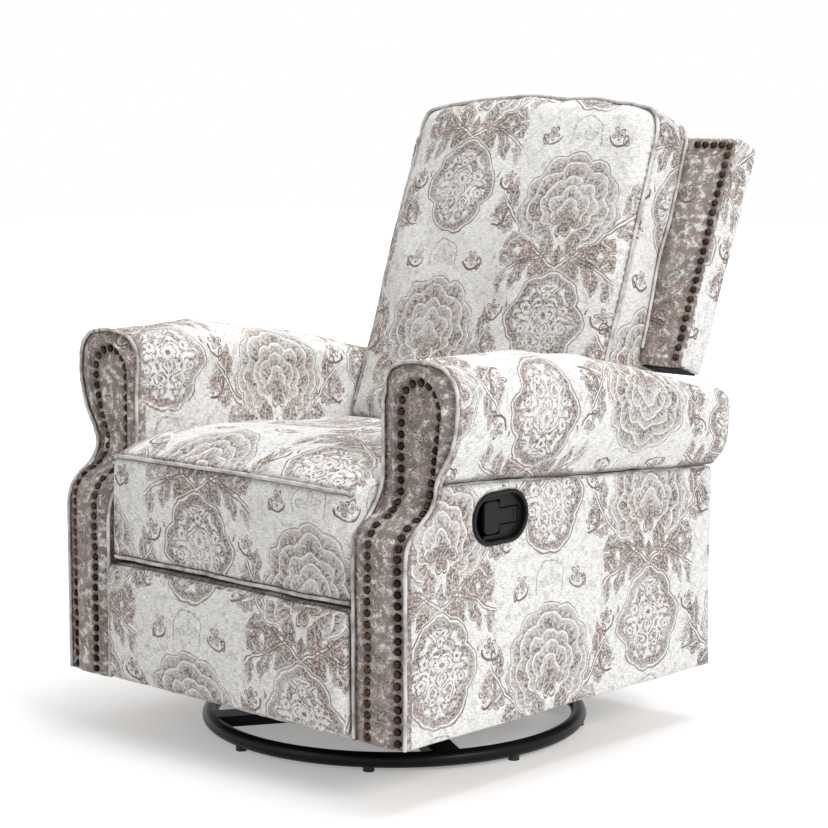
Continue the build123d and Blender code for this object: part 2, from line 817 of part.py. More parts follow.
front_pivot = polar(drive_pivot, pivot_spacing, tong_angle)
drive_elbow = polar(drive_pivot, drive_length, drive_stowed_angle)
front_cross = polar(front_pivot, drive_length, drive_stowed_angle)
front_end = polar(front_cross, front_overhang, drive_stowed_angle)
bracket_pivot = polar(drive_elbow, long_length, tong_angle)
bracket_lower = polar(bracket_pivot, front_overhang, drive_stowed_angle)
seat_rail_front = seat_board_front + seat_board_thickness

for side_name, side in both_sides():
    with BuildPart() as seat_rail:
        with BuildSketch(lane(side, seat_rail_plane, link_thickness)):
            with Locations(((seat_rail_front + back_pivot[0]) / 2, seat_rail_centre)):
                Rectangle(back_pivot[0] - seat_rail_front, seat_rail_height)
            with Locations(back_pivot):
                Circle(seat_rail_height / 2)
                Circle(pivot_hole, mode=Mode.SUBTRACT)
            with Locations(front_pivot):
                Circle(link_width / 2)
            Polygon(
                (drive_pivot[0] - 3 * link_width / 2, seat_rail_centre),
                (drive_pivot[0] - link_width / 2, drive_pivot[1]),
                (drive_pivot[0] + link_width / 2, drive_pivot[1]),
                (drive_pivot[0] + 3 * link_width / 2, seat_rail_centre),
                align=None,
            )
            with Locations(drive_pivot):
                Circle(link_width / 2)
        extrude(amount=link_thickness)
        carrier_pin = carrier_plane + link_thickness - seat_rail_plane - pin_root
        with BuildSketch(lane(side, seat_rail_plane + pin_root, carrier_pin)):
            with Locations(*carrier_tops.values()):
                Circle(pin_radius)
        extrude(amount=carrier_pin)
        with BuildSketch(lane(side, drive_plane + pin_root, seat_rail_plane - drive_plane)):
            with Locations(drive_pivot):
                Circle(pin_radius)
        extrude(amount=seat_rail_plane - drive_plane)
        with BuildSketch(lane(side, front_plane, seat_rail_plane - front_plane + pin_root)):
            with Locations(front_pivot):
                Circle(pin_radius)
        extrude(amount=seat_rail_plane - front_plane + pin_root)
    save(seat_rail.part, f"seat_rail_{side_name}")

with BuildPart() as seat_cross_tubes:
    with BuildSketch(Plane.YZ.offset(-seat_rail_plane)):
        with Locations((seat_front_tube, seat_rail_centre), (seat_rear_tube, seat_rail_centre)):
            Circle(seat_tube_radius)
            Circle(seat_tube_radius - seat_tube_wall, mode=Mode.SUBTRACT)
    extrude(amount=2 * seat_rail_plane)
save(seat_cross_tubes.part, "seat_cross_tubes")

seat_board_bottom = seat_rail_centre - seat_rail_height / 2 + board_foot_gap
with BuildPart() as seat_front_board:
    with BuildSketch(Plane.XZ.offset(-seat_rail_front)):
        with Locations((0, (seat_board_bottom + seat_board_top) / 2)):
            Rectangle(2 * (seat_rail_plane + link_thickness), seat_board_top - seat_board_bottom)
    extrude(amount=seat_board_thickness)
save(seat_front_board.part, "seat_front_board")

# five zigzag springs hooked over the rear tube and the front board
spring_bottom = seat_rail_centre + seat_tube_radius
spring_rear = seat_rear_tube
spring_front = seat_rail_front + spring_wire / 2 + soft_clearance
loop_pitch = (spring_rear - spring_front) / (2 * spring_loops)
with BuildPart() as seat_springs:
    for spring_index in range(spring_count):
        spring_x = (spring_index - (spring_count - 1) / 2) * spring_pitch
        with BuildSketch(Plane.XY.offset(spring_bottom)):
            with BuildLine():
                zigzag = []
                for turn_index in range(2 * spring_loops + 1):
                    reach = spring_loop_width / 2 * (1 if turn_index % 2 else -1)
                    if turn_index in (0, 2 * spring_loops):
                        reach = 0
                    zigzag.append((spring_x + reach, spring_front + turn_index * loop_pitch))
                FilletPolyline(*zigzag, radius=loop_pitch * spring_bend)
            trace(line_width=spring_wire)
        extrude(amount=spring_wire)
save(seat_springs.part, "seat_springs")


def draw_crowned(half_width, low, side_top, crown_top, bulge):
    """A cushion's section: flat below, drawn-in sides that swell between, an arched top."""
    base = Line((-half_width + bulge, low), (half_width - bulge, low))
    right = ThreePointArc(base @ 1, (half_width, (low + side_top) / 2), (half_width - bulge, side_top))
    over = ThreePointArc(right @ 1, (0, crown_top), (-half_width + bulge, side_top))
    ThreePointArc(over @ 1, (-half_width, (low + side_top) / 2), base @ 0)


# y, and the heights over the front edge of the seat's sides and of its crown there
seat_stations = (
    (seat_front, 0.0, 5.0),
    (seat_front + 38.0, 13.0, 28.0),
    (seat_front + 203.0, 24.0, 43.0),
    (0.0, 12.0, 30.0),
    (seat_rear, -12.0, 4.0),
)
with BuildPart() as seat_cushion:
    for station_y, side_rise, crown_rise in seat_stations:
        with BuildSketch(Plane.XZ.offset(-station_y)):
            with BuildLine():
                draw_crowned(
                    seat_half_width,
                    seat_border_bottom,
                    border_front_edge + side_rise,
                    border_front_edge + crown_rise,
                    seat_side_bulge,
                )
            make_face()
    loft()
    fillet(seat_cushion.faces().sort_by(Axis.Y)[0].edges(), seat_edge_radius)
    with BuildSketch(Plane.YZ.offset(-2 * seat_half_width)):
        with Locations(((seat_board_front + seat_rear) / 2, (seat_border_bottom + seat_cushion_bottom) / 2)):
            Rectangle(
                seat_rear - seat_board_front + face_overrun,
                seat_cushion_bottom - seat_border_bottom + face_overrun,
            )
        board_place = seat_rail_front - seat_board_thickness / 2
        with Locations((board_place, (seat_border_bottom + seat_board_top) / 2)):
            Rectangle(
                seat_board_thickness + 2 * soft_clearance,
                seat_board_top - seat_border_bottom + 2 * soft_clearance,
            )
    extrude(amount=4 * seat_half_width, mode=Mode.SUBTRACT)
save(seat_cushion.part, "seat_cushion")

# ========================================================== footrest tongs
for side_name, side in both_sides():
    drive_link = link(
        side, drive_plane, drive_pivot, drive_elbow, link_width,
        holes=((drive_pivot, pivot_hole),),
        pins=((drive_elbow, long_plane),),
    )
    save(drive_link, f"drive_link_{side_name}")
    long_link = link(
        side, long_plane, drive_elbow, bracket_pivot, link_width,
        holes=((drive_elbow, pivot_hole),),
        pins=((front_cross, front_plane), (bracket_pivot, front_plane)),
    )
    save(long_link, f"long_link_{side_name}")
    front_link = link(
        side, front_plane, front_pivot, front_end, link_width,
        holes=((front_pivot, pivot_hole), (front_cross, open_hole)),
        pins=((front_end, short_plane),),
    )
    save(front_link, f"front_link_{side_name}")
    short_link = link(
        side, short_plane, front_end, bracket_lower, link_width,
        holes=((front_end, pivot_hole), (bracket_lower, open_hole)),
    )
    save(short_link, f"short_link_{side_name}")
    with BuildPart() as footrest_bracket:
        with BuildSketch(lane(side, front_plane, link_thickness)):
            with BuildSketch() as bracket_lobes:
                with Locations(bracket_pivot, bracket_lower):
                    Circle(link_width / 2)
                tab_place = footrest_board_rear + bracket_tab / 2
                with Locations((tab_place, bracket_pivot[1]), (tab_place, bracket_lower[1])):
                    Rectangle(bracket_tab, link_width)
                make_hull()
            with Locations(bracket_pivot):
                Circle(pivot_hole, mode=Mode.SUBTRACT)
        extrude(amount=link_thickness)
        with BuildSketch(lane(side, short_plane, front_plane - short_plane + pin_root)):
            with Locations(bracket_lower):
                Circle(pin_radius)
        extrude(amount=front_plane - short_plane + pin_root)
        with BuildSketch(lane(side, front_plane - bracket_flange, bracket_flange + link_thickness)):
            flange_place = footrest_board_rear + bracket_flange_thickness / 2
            with Locations((flange_place, (footrest_bottom + footrest_top) / 2)):
                Rectangle(bracket_flange_thickness, footrest_top - footrest_bottom - 4 * bracket_flange)
        extrude(amount=bracket_flange + link_thickness)
    save(footrest_bracket.part, f"footrest_bracket_{side_name}")

with BuildPart() as torque_tube:
    with BuildSketch(Plane.YZ.offset(-drive_plane)):
        with Locations(drive_pivot):
            Circle(torque_tube_radius)
            Circle(torque_tube_radius - torque_tube_wall, mode=Mode.SUBTRACT)
    extrude(amount=2 * drive_plane)
save(torque_tube.part, "torque_tube")

with BuildPart() as footrest_board:
    with BuildSketch(Plane.XZ.offset(-footrest_board_rear)):
        with Locations((0, (footrest_bottom + footrest_top) / 2)):
            Rectangle(
                2 * (footrest_half_width - footrest_board_inset),
                footrest_top - footrest_bottom - 2 * footrest_board_inset,
            )
    extrude(amount=footrest_board_thickness)
save(footrest_board.part, "footrest_board")

footrest_back = footrest_board_rear - footrest_board_thickness
footrest_rise = footrest_top - footrest_bottom
drawn_edge = footrest_pad_edge - footrest_pad_draw
pad_stations = (
    (footrest_bottom, drawn_edge, footrest_pad_edge),
    (footrest_bottom + 0.3 * footrest_rise, footrest_pad_edge, footrest_pad_crown),
    (footrest_bottom + 0.7 * footrest_rise, footrest_pad_edge, footrest_pad_crown),
    (footrest_top, drawn_edge, footrest_pad_edge),
)
with BuildPart() as footrest_pad:
    for height, side_depth, crown_depth in pad_stations:
        with BuildSketch(Plane((0, footrest_back, height), x_dir=(-1, 0, 0), z_dir=(0, 0, 1))):
            with BuildLine():
                draw_crowned(footrest_half_width, 0, side_depth, crown_depth, footrest_pad_bulge)
            make_face()
    loft()
    fillet(footrest_pad.edges().group_by(Axis.Y)[0], footrest_pad_round)
save(footrest_pad.part, "footrest_pad")

# ==================================================================== back
tilt_sine, tilt_cosine = sin(radians(back_tilt)), cos(radians(back_tilt))
back_front = Plane((0, back_plane_foot, 0), x_dir=(1, 0, 0), z_dir=(0, -tilt_cosine, tilt_sine))


def back_point(x, along, proud=0.0):
    """A point in the chair's frame from the back's own: across, up its slope, forward."""
    return back_front.from_local_coords(Vector(x, along, proud))


shell_low_half = drive_plane
with BuildPart() as back_shell:
    with BuildSketch(back_front):
        with BuildLine():
            Polyline(
                (-shell_low_half, shell_bottom),
                (shell_low_half, shell_bottom),
                (shell_low_half, wing_bottom),
                (wing_half_bottom, wing_bottom),
                (wing_half_top, wing_top),
                (-wing_half_top, wing_top),
                (-wing_half_bottom, wing_bottom),
                (-shell_low_half, wing_bottom),
                close=True,
            )
        make_face()
    extrude(amount=-shell_thickness)
    rear_edges = back_shell.edges().filter_by(Axis.X).sort_by(Axis.Z)[-2:]
    fillet(rear_edges, wing_corner)
    with BuildSketch(back_front.offset(-shell_wall)):
        with Locations((0, (shell_bottom + wing_top) / 2)):
            Rectangle(2 * (shell_low_half - shell_wall), wing_top - shell_bottom - 2 * shell_wall)
    extrude(amount=-(shell_thickness - 2 * shell_wall), mode=Mode.SUBTRACT)
save(back_shell.part, "back_shell")

frame_half = shell_low_half - shell_wall - frame_clearance
frame_low = shell_bottom + shell_wall + frame_clearance
frame_high = wing_top - shell_wall - frame_clearance
with BuildPart() as back_wood_frame:
    with BuildSketch(back_front.offset(-shell_wall - frame_clearance)):
        with Locations((0, (frame_low + frame_high) / 2)):
            Rectangle(2 * frame_half, frame_high - frame_low)
        for window_index in range(2):
            window_pitch = (frame_high - frame_low - frame_rail) / 2
            window_low = frame_low + frame_rail + window_index * window_pitch
            window_high = window_low + window_pitch - frame_rail
            with Locations((0, (window_low + window_high) / 2)):
                Rectangle(2 * (frame_half - frame_rail), window_high - window_low, mode=Mode.SUBTRACT)
    extrude(amount=-(shell_thickness - 2 * shell_wall - 2 * frame_clearance))
save(back_wood_frame.part, "back_wood_frame")

with BuildPart() as back_dust_cover:
    cover_front = back_front.offset(-dust_cover_inset)
    with BuildSketch(cover_front):
        for side_name, side in both_sides():
            cover_place = side * (shell_low_half + wing_half_bottom) / 2
            with Locations((cover_place, wing_bottom - dust_cover_thickness / 2)):
                Rectangle(wing_half_bottom - shell_low_half - 2 * dust_cover_inset, dust_cover_thickness)
    extrude(amount=-(shell_thickness - 2 * dust_cover_inset))
save(back_dust_cover.part, "back_dust_cover")

# up the slope, and how far the cushion's edge and crown stand off its usual depths
cushion_stations = (
    (cushion_bottom, -3.0, -10.0),
    (cushion_bottom + 170.0, 0.0, 0.0),
    (cushion_bottom + 400.0, 0.0, 2.0),
    (cushion_crown_top, -4.0, -14.0),
)
with BuildPart() as back_cushion:
    for along, edge_step, crown_step in cushion_stations:
        station_plane = Plane(back_point(0, along), x_dir=(-1, 0, 0), z_dir=(0, tilt_sine, tilt_cosine))
        with BuildSketch(station_plane):
            with BuildLine():
                draw_crowned(
                    cushion_half_width,
                    soft_clearance,
                    cushion_edge_depth + edge_step,
                    cushion_crown_depth + crown_step,
                    cushion_side_bulge,
                )
            make_face()
    loft()
    with BuildSketch(back_front):
        with BuildLine():
            low_left = (-cushion_half_width, cushion_bottom)
            low_right = (cushion_half_width, cushion_bottom)
            high_right = (cushion_half_width - cushion_top_draw, cushion_corner_top)
            high_left = (-cushion_half_width + cushion_top_draw, cushion_corner_top)
            Line(low_left, low_right)
            waist = (cushion_bottom + cushion_corner_top) / 2
            ThreePointArc(low_right, (cushion_half_width, waist), high_right)
            ThreePointArc(high_right, (0, cushion_crown_top), high_left)
            ThreePointArc(high_left, (-cushion_half_width, waist), low_left)
        top_corners = make_face().vertices().sort_by(Axis.Y)[-2:]
        fillet(top_corners, cushion_corner_radius)
    extrude(amount=2 * cushion_crown_depth, mode=Mode.INTERSECT)
save(back_cushion.part, "back_cushion")

for side_name, side in both_sides():
    low_place = back_point(0, shell_bottom + bracket_low_bolt, -bracket_offset)
    high_place = back_point(0, shell_bottom + bracket_reach, -bracket_offset)
    lower_bolt = (low_place.Y, low_place.Z)
    upper_bolt = (high_place.Y, high_place.Z)
    with BuildPart() as back_bracket:
        with BuildSketch(lane(side, drive_plane, link_thickness)):
            for start, end in ((back_pivot, lower_bolt), (lower_bolt, upper_bolt)):
                run = hypot(end[0] - start[0], end[1] - start[1])
                slope = degrees(atan2(end[1] - start[1], end[0] - start[0]))
                with Locations(((start[0] + end[0]) / 2, (start[1] + end[1]) / 2)):
                    SlotCenterToCenter(run, bracket_width, rotation=slope)
        extrude(amount=link_thickness)
        back_pin = seat_rail_plane + link_thickness - drive_plane - pin_root
        with BuildSketch(lane(side, drive_plane + pin_root, back_pin)):
            with Locations(back_pivot):
                Circle(pin_radius)
        extrude(amount=back_pin)
    save(back_bracket.part, f"back_bracket_{side_name}")

back_nail_planes = []
side_nail_top = back_point(wing_half_top - back_nail_inset, wing_top - back_nail_inset)
side_nail_bottom = back_point(wing_half_bottom - back_nail_inset, wing_bottom + back_nail_inset)
side_nails = round((side_nail_top - side_nail_bottom).length / nail_pitch)
top_nails = int((wing_half_top - back_nail_inset - cushion_half_width) / top_nail_pitch)
for side_name, side in both_sides():
    nail_step = (side_nail_top - side_nail_bottom) / side_nails
    spots = [side_nail_bottom + nail_step * index for index in range(side_nails + 1)]
    spots += [side_nail_top - Vector((index + 1) * top_nail_pitch, 0, 0) for index in range(top_nails)]
    for spot in spots:
        place = (side * spot.X, spot.Y, spot.Z)
        back_nail_planes.append(Plane(place, x_dir=(1, 0, 0), z_dir=back_front.z_dir))
with BuildPart() as back_nails:
    with BuildSketch(*back_nail_planes):
        RegularPolygon(nail_radius, nail_sides)
    extrude(amount=nail_height, taper=nail_taper)
save(back_nails.part, "back_nails")
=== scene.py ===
"""Swivel glider recliner in faded damask, dressed over its CAD frame.

Metres, +Z up, -Y is the chair's front, +X is the sitter's left.
"""

import json
import math

import bmesh
import bpy
import numpy as np
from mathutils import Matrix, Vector
from mathutils.bvhtree import BVHTree
from mathutils.kdtree import KDTree


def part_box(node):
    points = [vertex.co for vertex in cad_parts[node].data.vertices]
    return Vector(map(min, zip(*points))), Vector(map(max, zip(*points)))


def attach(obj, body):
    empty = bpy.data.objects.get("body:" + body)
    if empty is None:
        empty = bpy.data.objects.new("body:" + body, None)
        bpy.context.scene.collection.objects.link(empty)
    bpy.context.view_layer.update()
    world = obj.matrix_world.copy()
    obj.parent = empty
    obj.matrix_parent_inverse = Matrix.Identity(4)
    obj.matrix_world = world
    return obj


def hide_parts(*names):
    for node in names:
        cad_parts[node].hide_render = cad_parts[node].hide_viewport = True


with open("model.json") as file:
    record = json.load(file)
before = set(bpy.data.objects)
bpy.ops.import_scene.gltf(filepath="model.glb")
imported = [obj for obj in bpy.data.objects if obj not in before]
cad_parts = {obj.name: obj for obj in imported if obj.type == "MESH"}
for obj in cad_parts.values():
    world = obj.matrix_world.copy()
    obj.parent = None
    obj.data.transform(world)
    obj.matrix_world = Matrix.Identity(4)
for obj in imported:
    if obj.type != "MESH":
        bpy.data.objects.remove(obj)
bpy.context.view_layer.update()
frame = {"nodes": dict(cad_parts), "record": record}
NODES = frame["nodes"]
SCENE = bpy.context.scene
SIDES = (("left", 1), ("right", -1))

# the back's own plane leans back by BACK_TILT and meets the floor at y = BACK_FOOT
BACK_TILT = math.radians(19.5)
BACK_FOOT = 0.1033
BACK_UP = np.array((0.0, math.sin(BACK_TILT), math.cos(BACK_TILT)))
BACK_OUT = np.array((0.0, -math.cos(BACK_TILT), math.sin(BACK_TILT)))
BACK_AXES = np.array(((1.0, 0.0, 0.0), BACK_OUT, BACK_UP))
FORWARD = np.array((0.0, -1.0, 0.0))

# the camera, solved from points picked in the photograph; its angles are in degrees
CAMERA_PLACE = (2.646, -2.793, 1.036)
CAMERA_AZIMUTH = 42.96
CAMERA_PITCH = 7.65
CAMERA_LENS = 101.8

LINEN = (0.905, 0.905, 0.890, 1.0)
LINEN_SHADE = (0.535, 0.530, 0.515, 1.0)
TAUPE = (0.084, 0.050, 0.038, 1.0)
TAUPE_LIGHT = (0.245, 0.152, 0.114, 1.0)
# painted shade, mixed into the cloth where its seams, pipings and nail heads press it in
CREASE_SHADE = (0.050, 0.043, 0.040, 1.0)

# the print repeats across and up, with a half drop between columns
REPEAT_X, REPEAT_Z = 0.50, 0.46
LEAF_PITCH = 0.040  # from leaf to leaf along one side of a branch
INK_SPREAD = 0.00015  # how far ink runs beyond each side of a printed line

# voxel sizes of the remeshed pieces
CUSHION_VOXEL, PANEL_VOXEL, FACING_VOXEL, HANDLE_VOXEL = 0.0075, 0.005, 0.003, 0.0012
WELD = 1e-5  # points of a CAD mesh nearer than this are one
RELIEF_WAVES = 22  # sine waves summed in a dented surface
CLOTH_STEPS = 20
CLOTH_PRESSURE = 4.0


# ---- materials
def feed(node, inputs):
    """Give inputs, by name or number, a number or colour, or link a socket or Term to them."""
    for key, value in dict(inputs).items():
        if isinstance(value, Term):
            value = value.socket
        if isinstance(value, bpy.types.NodeSocket):
            node.id_data.links.new(value, node.inputs[key])
        else:
            node.inputs[key].default_value = value


def add_node(tree, kind, inputs=(), **settings):
    """A new shader node. Its settings come first, because its inputs depend on them."""
    node = tree.nodes.new("ShaderNode" + kind)
    for setting, value in settings.items():
        setattr(node, setting, value)
    feed(node, inputs)
    return node


class Term:
    """A number inside a node tree, written as arithmetic."""

    def __init__(self, socket):
        self.socket = socket
        self.tree = socket.id_data

    def math(self, operation, *others, clamp=False):
        node = add_node(self.tree, "Math", enumerate((self,) + others), operation=operation, use_clamp=clamp)
        return Term(node.outputs[0])

    def __add__(self, other):
        return self.math("ADD", other)

    def __sub__(self, other):
        return self.math("SUBTRACT", other)

    def __mul__(self, other):
        return self.math("MULTIPLY", other)

    def __truediv__(self, other):
        return self.math("DIVIDE", other)

    def __abs__(self):
        return self.math("ABSOLUTE")

    def sin(self):
        return self.math("SINE")

    def cos(self):
        return self.math("COSINE")

    def low(self, other):
        return self.math("MINIMUM", other)

    def high(self, other):
        return self.math("MAXIMUM", other)

    def wrapped(self, period):
        """The value folded into one period about zero."""
        return self.math("WRAP", -period / 2, period / 2)

    def step(self, soft):
        """0 below zero and 1 above it, over a soft edge."""
        return (self / soft + 0.5).math("ADD", 0.0, clamp=True)


def length(a, b):
    return (a * a + b * b).math("SQRT")


def new_material(name):
    material = bpy.data.materials.new(name)
    material.use_nodes = True
    tree = material.node_tree
    shader = tree.nodes["Principled BSDF"]
    return material, tree, shader


def noise(tree, vector, scale, detail, rough=0.5, output="Fac"):
    inputs = {"Vector": vector, "Scale": scale, "Detail": detail, "Roughness": rough}
    return Term(add_node(tree, "TexNoise", inputs).outputs[output])


def stretched(tree, vector, scale):
    return add_node(tree, "Mapping", {"Vector": vector, "Scale": scale}).outputs[0]


def attribute(tree, name, output):
    return add_node(tree, "Attribute", attribute_name=name).outputs[output]


def object_vector(tree):
    return add_node(tree, "TexCoord").outputs["Object"]


def ramp(tree, value, stops):
    """A colour ramp of (place, colour) stops."""
    node = add_node(tree, "ValToRGB", {"Fac": value})
    band = node.color_ramp
    while len(band.elements) < len(stops):
        band.elements.new(0.5)
    for element, (place, colour) in zip(band.elements, stops):
        element.position = place
        element.color = colour
    return node.outputs["Color"]


def mix(tree, share, first, second):
    """Two colours mixed, with this share of the second."""
    return add_node(tree, "Mix", {0: share, 6: first, 7: second}, data_type="RGBA").outputs[2]


def bump(tree, shader, height, distance, strength):
    node = add_node(tree, "Bump", {"Height": height, "Distance": distance, "Strength": strength})
    feed(shader, {"Normal": node.outputs["Normal"]})


# the print's motifs: places, widths and sizes are in metres of cloth, angles in radians
def line(distance, width, soft=0.0009):
    """A line of half this width where the distance is zero."""
    return (abs(distance) * -1.0 + width + INK_SPREAD).step(soft)


def without(ink, cut):
    """The ink less what the cut uncovers."""
    return ink * (cut * -1.0 + 1.0)


def motif(name, inputs, outputs, draw):
    """A node group drawn once from named numbers, to be stamped many times."""
    group = bpy.data.node_groups.new(name, "ShaderNodeTree")
    for title in inputs:
        group.interface.new_socket(title, in_out="INPUT", socket_type="NodeSocketFloat")
    for title in outputs:
        group.interface.new_socket(title, in_out="OUTPUT", socket_type="NodeSocketFloat")
    entry = group.nodes.new("NodeGroupInput")
    leave = group.nodes.new("NodeGroupOutput")
    feed(leave, zip(outputs, draw(*(Term(entry.outputs[title]) for title in inputs))))

    def stamp(*values):
        node = add_node(values[0].tree, "Group", zip(inputs, values), node_tree=group)
        terms = [Term(node.outputs[title]) for title in outputs]
        return terms[0] if len(terms) == 1 else terms

    return stamp


def filigree(u, v, seed, turns, scale):
    """Curling bands that mirror about a motif's middle."""
    join = add_node(u.tree, "CombineXYZ", {"X": abs(u), "Y": v, "Z": seed})
    return (noise(u.tree, join.outputs[0], scale, 1.0, 0.4) * turns).sin()


def draw_rosette(u, v, size, petals, grain):
    """A small round flower: open petals, a rim line and a dark eye."""
    turn = u.math("ARCTAN2", v) * petals * 0.5
    away = length(u, v)
    edge = (abs(turn.cos()) * 0.34 + 0.66) * size - away
    body = edge.step(0.0010)
    veins = line(abs(turn.sin()) - 0.04, 0.10, 0.10) * (away - size * 0.30).step(0.001)
    eye = (size * 0.26 - away).step(0.0012)
    marks = line(edge, 0.0007).high(veins * body * 0.55).high(eye * (grain * 0.3 + 0.7))
    return body, marks


rosette = motif("print_rosette", ("u", "v", "size", "petals", "grain"), ("body", "marks"), draw_rosette)
MEDALLION_FLOWERS = (
    ((0.0, 0.012), 0.017, 8.0), ((0.037, 0.020), 0.0125, 5.0), ((0.0, 0.046), 0.011, 5.0),
    ((0.044, -0.014), 0.010, 5.0), ((0.019, -0.042), 0.0085, 5.0),
)


def draw_medallion(u, v, grain):
    """A round scalloped medallion with a tip, double-lined and filled with flowers and curls."""
    side = abs(u)
    turn = side.math("ARCTAN2", v)
    away = length(u, v * 0.98)
    tip = ((turn * turn) * -22.0).math("EXPONENT") * 0.016
    foot = ((turn - math.pi) * (turn - math.pi) * -9.0).math("EXPONENT") * 0.012
    rim = abs((turn * 3.0).sin()) * 0.012 + 0.069 + tip + foot - away
    double = (line(rim, 0.0013) * 0.80).high(line(rim - 0.0058, 0.0011) * 0.70)
    inside = (rim - 0.0072).step(0.0010)
    band = inside * ((rim - 0.0175) * -1.0).step(0.004)
    curls = filigree(u, v, 1.7, 64.0, 26.0)
    ground = inside * (grain * 0.60 + 0.34) * (curls + 0.05).step(0.7)
    ground = ground.high(band * (grain * 0.5 + 0.45))
    low_v = v + 0.045
    sway = line(side - 0.020 - low_v * 0.55 + low_v * low_v * 9.0, 0.0016)
    sway = sway * (v + 0.058).step(0.004) * ((v - 0.020) * -1.0).step(0.006)
    spine = line(u, 0.0016) * (v + 0.060).step(0.004) * ((v + 0.004) * -1.0).step(0.004)
    ground = without(ground, sway.high(spine) * inside)
    for place, size, petals in MEDALLION_FLOWERS:
        body, marks = rosette(side - place[0], v - place[1], size, petals, grain)
        ground = without(ground, body).high(marks)
    return (rim + 0.003).step(0.002), double.high(ground * (rim - 0.004).step(0.002))


def draw_bloom(u, v, grain):
    """A layered blossom: rows of scalloped petals over a calyx, with engraved shading."""
    side = abs(u)
    root = v + 0.052
    turn = side.math("ARCTAN2", root)
    away = length(u, root * 0.94)
    ink = silhouette = None
    for lobes, size, deep in (
        (6.5, 0.106, 0.008), (4.5, 0.088, 0.011), (5.5, 0.067, 0.008), (3.5, 0.050, 0.009), (2.5, 0.030, 0.008),
    ):
        edge = abs((turn * lobes).cos()) * deep + size - away - turn * turn * 0.0080
        body = edge.step(0.0010)
        shade = ((edge - 0.002) * 60.0).low(1.0).high(0.0)
        hatch = (turn * (lobes * 8.0)).sin() * 0.32 + 0.68
        fill = body * (shade * hatch * 0.80 + 0.40) * (grain * 0.55 + 0.45)
        fill = without(fill, line(edge - 0.0026, 0.0013)).high(line(edge, 0.0009) * 0.75)
        ink = fill if ink is None else without(ink, body).high(fill)
        silhouette = silhouette or (edge + 0.003).step(0.002)
    keep = (turn * -1.0 + 2.25).step(0.05)
    ink = ink * keep
    cup_v = v + 0.050
    cup_turn = side.math("ARCTAN2", cup_v)
    calyx = abs((cup_turn * 3.0 + 0.8).cos()) * 0.020 + 0.015 - length(u, cup_v)
    low = (v * -1.0 - 0.040).step(0.006)
    cup = without(calyx.step(0.0012) * (grain * 0.5 + 0.5), line(calyx - 0.0035, 0.0010))
    cup = cup.high(line(calyx, 0.0009)) * low
    bead = length(side - 0.070, v + 0.035) * -1.0 + 0.0060
    beads = line(bead, 0.0012).high((bead - 0.003).step(0.001) * 0.9)
    body = (silhouette * keep).high((calyx + 0.003).step(0.002) * low)
    return body, ink.high(cup).high(beads)


def draw_branch(along, across, reach, seed, grain):
    """A white-stemmed branch with oak-like leaves on both sides."""
    ends = (along + 0.004).step(0.004) * (reach - along).step(0.010)
    stem = abs(across)
    lines = line(stem - 0.0027, 0.0009) * ends
    clear = (stem - 0.0017).step(0.0008)
    flip = across.step(0.0004) * (LEAF_PITCH * 0.5)
    place = (along + flip + seed).wrapped(LEAF_PITCH)
    x = place - (stem - 0.010) * 0.55
    y = stem - 0.019
    turn = x.math("ARCTAN2", y)
    away = length(x * 1.05, y)
    taper = (reach - along) * 0.035 + 0.0128
    edge = abs((turn * 3.5).cos()) * 0.0052 + taper + turn.cos() * 0.0022 - away
    vein = line(x, 0.0009) * (y + 0.022).step(0.002) * ((y - 0.008) * -1.0).step(0.002)
    ribs = line((turn * 3.5).sin() * away, 0.0007) * (away - 0.003).step(0.001)
    light = line(edge - 0.0024, 0.0008)
    fill = edge.step(0.0014) * (grain * 0.60 + 0.46)
    fill = without(fill, vein.high(ribs * 0.6).high(light * 0.5)).high(line(edge, 0.0008) * 0.7)
    return (lines.high(fill * clear * ends),)


def draw_sprig(x, y, tip, grain):
    """A small flower with a teardrop leaf and a curl."""
    turn = y.math("ARCTAN2", x) + tip
    away = length(x, y)
    petals = abs((turn * 2.5).cos()) * 0.0085 + 0.0045 - away
    gaps = (away - 0.0030).step(0.001) * line(petals - 0.003, 0.0008)
    flower = without(petals.step(0.0010) * (grain * 0.6 + 0.4), gaps).high(line(petals, 0.0008))
    curl = line(away - 0.0205 - turn * 0.0016, 0.0017) * (turn.cos() - 0.25).step(0.35)
    drop_x = x + (tip + 2.2).cos() * 0.020
    drop_y = y - (tip + 2.2).sin() * 0.020
    drop = length(drop_x, drop_y * 0.6) * -1.0 + 0.0052
    leaf = line(drop, 0.0009).high((drop - 0.0022).step(0.0008) * grain)
    return (flower.high(curl).high(leaf),)


def draw_arch(u, v, grain):
    """A ghostly domed arch of dots over a small fan."""
    dome = length(u, v.high(0.0)) * -1.0 + 0.032
    beads = ((u.math("ARCTAN2", v) * 15.0).sin() * 0.5 + 0.5).step(0.5)
    ring = line(dome, 0.0012) * beads * (v + 0.020).step(0.004)
    spread = abs((u.math("ARCTAN2", v + 0.012) * 3.0).cos()) * 0.020 + 0.006 - length(u, v + 0.012)
    fan = line(spread, 0.0009).high(spread.step(0.001) * (grain * 0.4 + 0.1)) * (v + 0.010).step(0.003)
    return ((ring * 0.75).high(fan * 0.8) * (grain * 0.3 + 0.6),)


medallion = motif("print_medallion", ("u", "v", "grain"), ("body", "ink"), draw_medallion)
bloom = motif("print_bloom", ("u", "v", "grain"), ("body", "ink"), draw_bloom)
leafy_branch = motif("print_branch", ("along", "across", "reach", "seed", "grain"), ("ink",), draw_branch)
small_sprig = motif("print_sprig", ("x", "y", "tip", "grain"), ("ink",), draw_sprig)
arch = motif("print_arch", ("u", "v", "grain"), ("ink",), draw_arch)


